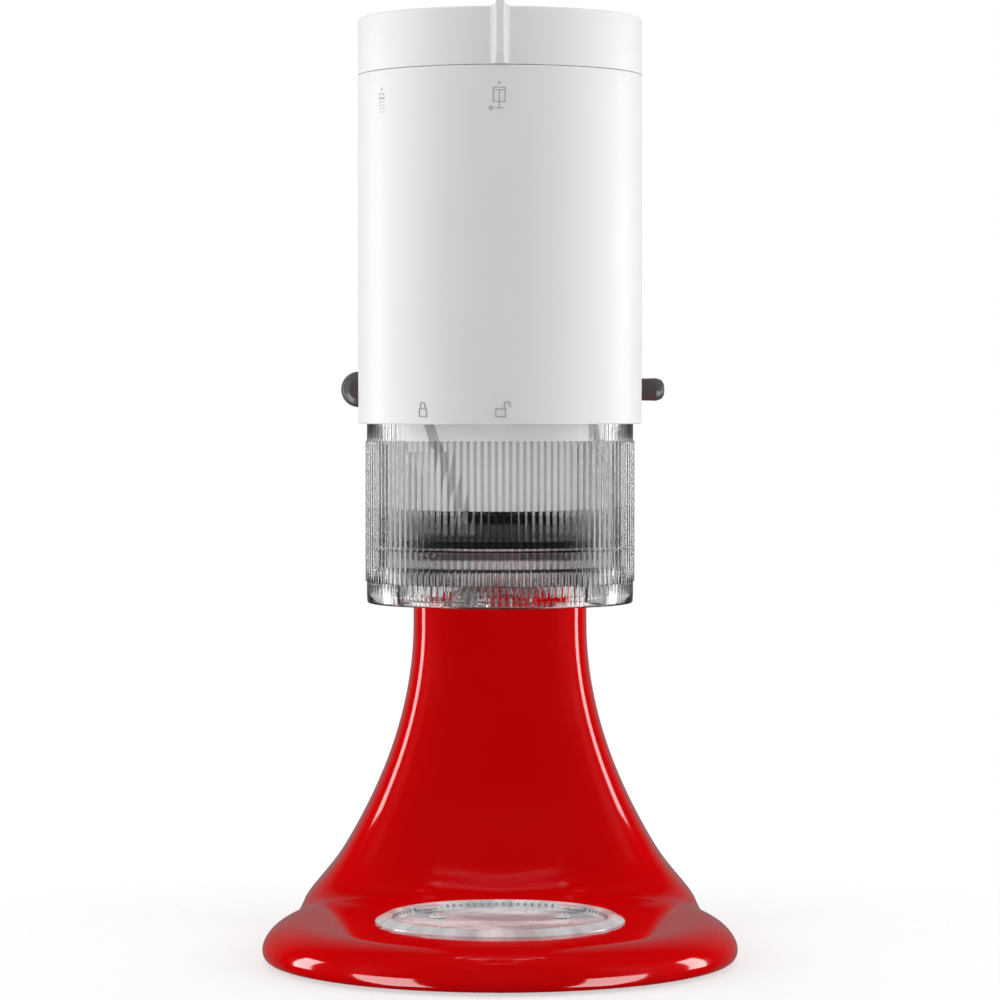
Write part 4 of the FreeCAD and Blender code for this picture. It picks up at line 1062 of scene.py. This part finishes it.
def make_cup():
    low, high = CUP_LOW.z, CUP_HIGH.z
    r, inner, plate = 56.2, 54.0, BLADE_LOW.z
    wall = [(inner, low, 0.5), (r - 0.2, low, 1.4), (r, low + 4, 0), (r, RIB_LOW - 0.02, 0),
            (r, RIB_LOW + 0.32, 0)]
    wall += [(r, RIB_LOW + (RIB_HIGH - 4.7 - RIB_LOW) * k / 6, 0) for k in range(1, 7)]
    wall += [(r, RIB_HIGH - 4.38, 0), (r, RIB_HIGH - 2, 0), (r, RIB_HIGH - 0.32, 0), (r, RIB_HIGH + 0.02, 0),
             (r, high, 0.5), (inner, high, 0.5)]
    ledge = [(inner, plate - 0.1, 0), (52.9, plate - 0.1, 0.2), (52.9, plate - 0.9, 0.2),
             (inner, plate - 1.6, 0.3)]
    verts, faces = turned(rounded(wall + ledge, 0.4, 3), (0, ICE_Y, 0), count=RIB_COUNT * 8)
    shaped = []
    for v in verts:
        flat = Vector((v.x, v.y - ICE_Y))
        reach = flat.length
        if abs(reach - r) < 0.01:
            k = (reach + rib_wave(math.atan2(flat.y, flat.x), v.z)) / reach
            v = Vector((flat.x * k, ICE_Y + flat.y * k, v.z))
        shaped.append(v)
    piece("blade_cup", shaped, faces, "cup", "clear_plastic", ["cup_wall"], look="cup_plastic", sharp=50)
    section = ((r + 0.02, 253.4), (57.0, 253.6), (57.0, 255.8), (r + 0.02, 256.0))
    lugs = []
    for k in range(4):
        turns = (math.radians(90 * k) + math.radians(-10 + 20 * i / 8) for i in range(9))
        lugs.append(loft([[polar(q, a, z, ICE_Y) for q, z in section] for a in turns]))
    piece("cup_lugs", *joined(lugs), "cup", "clear_plastic", sharp=30)


def turn_about_cup(made, angle):
    made.data.transform(Matrix.Translation((0, ICE_Y * MM, 0)) @ Matrix.Rotation(angle, 4, "Z"))


def make_chute():
    """The ice guide under the blade plate, with three soft-cornered windows."""
    low = CHUTE_LOW.z
    profile = [(43.4, 0), (45, 0), (45, 17.0, 1.5), (47.5, 19.6, 0.6), (47.5, 21.3), (43.4, 21.3)]
    made = lathe("ice_guide", profile, (0, ICE_Y, low), "cup", "clear_plastic", ["ice_chute"],
                 look="thin_clear_plastic", count=192)
    cutters = []
    for k in range(3):
        cutter = box_cutter((-14, -60, low - 12), (14, -30, low + 9.5))
        soft = cutter.modifiers.new("soft", "BEVEL")
        soft.width, soft.segments = 5 * MM, 6
        bake(cutter)
        turn_about_cup(cutter, math.radians(35 + 120 * k))
        cutters.append(cutter)
    cut_with(made, cutters)
    shade(made, 35)


def make_blade_plate():
    low, tall = BLADE_LOW.z, BLADE_HIGH.z - BLADE_LOW.z
    disc = [(0, 0), (53.6, 0), (53.6, 3), (22, 3), (22, 12.6, 0.8), (6.2, 12.6, 0.6), (5.4, 14),
            (5.2, tall, 0.6), (0, tall)]
    made = lathe("blade_disc", disc, (0, ICE_Y, low), "cup", "black_plastic", ["blade_plate"],
                 look="blade_plate_plastic", count=160, fillet=0.3)
    slot = box_cutter((22.5, -5, low - 1), (48, 5, low + 20))
    turn_about_cup(slot, math.radians(205))
    cut_with(made, [slot])
    shade(made, 35)
    rim = [(50.6, 2.9), (52.4, 2.9), (52.4, 10), (50.6, 10)]
    lathe("blade_plate_rim", rim, (0, ICE_Y, low), "cup", "black_plastic", look="smoked_plastic", count=160,
          fillet=0.3)
    teeth, tooth_count = [], 24
    for k in range(tooth_count):
        a = 2 * math.pi * k / tooth_count
        across = Vector((-math.sin(a), math.cos(a), 0))
        section = [polar(r, a, low + z, ICE_Y)
                   for r, z in ((16.5, 12.2), (21.2, 12.2), (21.2, 14.6), (16.5, 14.6))]
        teeth.append(loft([[p + across * w for p in section] for w in (-0.7, 0.7)]))
    piece("blade_hub_teeth", *joined(teeth), "cup", "black_plastic", look="blade_plate_plastic", bevel=0.2)


def make_drum():
    """The milky sleeve and the four slanting ribs that run up its outside."""
    low, tall = DRUM_LOW.z, DRUM_HIGH.z - DRUM_LOW.z
    sleeve = [(44.5, 0), (47.0, 0), (47.0, tall), (44.5, tall)]
    lathe("ice_sleeve", sleeve, (0, ICE_Y, low), "drum", "clear_plastic", ["ice_drum"],
          look="ice_sleeve_plastic", count=192, fillet=0.6)
    steps, rib_top, lead = 48, 286, 0.504
    parts = []
    for k in range(4):
        rings = []
        for i in range(steps + 1):
            z = RIB_FOOT + (rib_top - RIB_FOOT) * i / steps
            a = math.radians(255.0 + 90 * k - (z - RIB_FOOT) * lead)
            tip = 47.0 + 2.7 * min(1.0, 0.25 + i / 3, 0.25 + (steps - i) / 3)
            outline = [(46.9, 2.4), (48.0, 1.9), (tip - 0.5, 1.3), (tip, 0.7)]
            outline += [(r, -half) for r, half in reversed(outline)]
            rings.append([polar(r, a + w / r, z, ICE_Y) for r, w in outline])
        parts.append(loft(rings))
    piece("sleeve_ribs", *joined(parts), "drum", "clear_plastic", look="sleeve_rib_plastic", sharp=60)


# ---- knobs and small parts ----

def make_knobs():
    ball = [(0, -6.2), (4.6, -6.2, 2.0), (7.4, -4.4, 1.8), (8.5, 0, 3.2), (7.4, 4.4, 1.8), (4.6, 6.0, 2.0),
            (3.6, 5.6, 0.6), (0, 5.5)]
    # the grips' lighter grey plastic is a painted sheen
    lathe("speed_grip", ball, middle_of("speed_knob"), "speed", "black_plastic", ["speed_knob"],
          look="knob_plastic", axis=(0, 1, 0), count=96, fillet=1.0, sharp=60)
    barrel = [(0, 0), (4.6, 0, 0.8), (5.2, 2.0, 1.0), (5.3, 10.0, 1.0), (5.4, 14.0, 1.6), (4.5, 16.6, 1.6),
              (2.6, 17.7, 1.4), (0, 18)]
    lathe("lock_grip", barrel, (node_box("lock_knob")[0].x, *middle_of("lock_knob").yz), "lock",
          "black_plastic", ["lock_knob"], look="knob_plastic", axis=(1, 0, 0), count=96, fillet=0.8, sharp=60)
    low, high = node_box("attachment_knob")
    y, z = middle_of("attachment_knob").yz
    head = high.x - 11.0
    knob = [(0, 0), (6.5, 0, 0.5), (9.6, 2.2, 0.8), (10.15, 6, 2.0), (9.0, 9.2, 1.2), (6.0, 10.6, 1.0),
            (5.0, 10.3, 0.3), (0, 10.2)]
    lathe("hub_knob", knob, (head, y, z), "clamp_knob", "black_plastic", ["attachment_knob"], axis=(1, 0, 0),
          count=160, fillet=0.6, sharp=60,
          wave=lambda a, h: -0.7 * max(0.0, math.cos(10 * a)) ** 2 if 1.5 < h < 9.4 else 0.0)
    long = head - low.x + 0.5
    screw = [(0, 0), (2.2, 0), (3.95, 1.4), (3.95, long), (0, long)]
    lathe("hub_knob_screw", screw, (low.x, y, z), "clamp_knob", "black_plastic", look="bright_steel",
          axis=(1, 0, 0), count=64, fillet=0.3)


def make_beater_spring():
    low, high = node_box("beater_spring")
    middle = (low + high) / 2
    turns, wire, r, steps = 4.0, 0.7, 7.9, 200
    rings = []
    for i in range(steps + 1):
        a = 2 * math.pi * turns * i / steps
        z = low.z + wire + (high.z - low.z - 2 * wire) * i / steps
        bends = [2 * math.pi * k / 12 for k in range(12)]
        section = [(r + wire * math.cos(b), z + wire * math.sin(b)) for b in bends]
        rings.append([Vector((middle.x + q * math.cos(a), middle.y + q * math.sin(a), h)) for q, h in section])
    piece("beater_return_spring", *loft(rings), "beater", "bright_steel", ["beater_spring"])


def dress_cad():
    """Gives every CAD node that still shows the finish that its record slot names."""
    wanted = {row["node"]: row["material_slot"] for row in frame["record"]["subparts"]}
    own = {"clamp_plate": "turned_aluminium", "clamp_screws": "turned_aluminium",
           "ice_drum": "ice_sleeve_plastic", "blade_plate": "blade_plate_plastic"}
    for name, made in frame["nodes"].items():
        made.data.materials.clear()
        made.data.materials.append(LOOKS[own.get(name, wanted[name])])
        if not made.hide_render:
            shade(made, 35)


make_camera()
make_world()
make_lights()
make_floor()
LOOKS = make_looks()
make_base()
make_clamp_plate()
make_head()
make_housing()
make_marks()
make_lid()
make_cup()
make_chute()
make_blade_plate()
make_drum()
make_knobs()
make_beater_spring()
dress_cad()

# clear pieces let the light through to what stands behind them
for clear_name in ("blade_cup", "cup_lugs", "ice_guide", "blade_plate_rim", "ice_sleeve", "sleeve_ribs"):
    scene.objects[clear_name].visible_shadow = False
scene.view_settings.view_transform = "Standard"
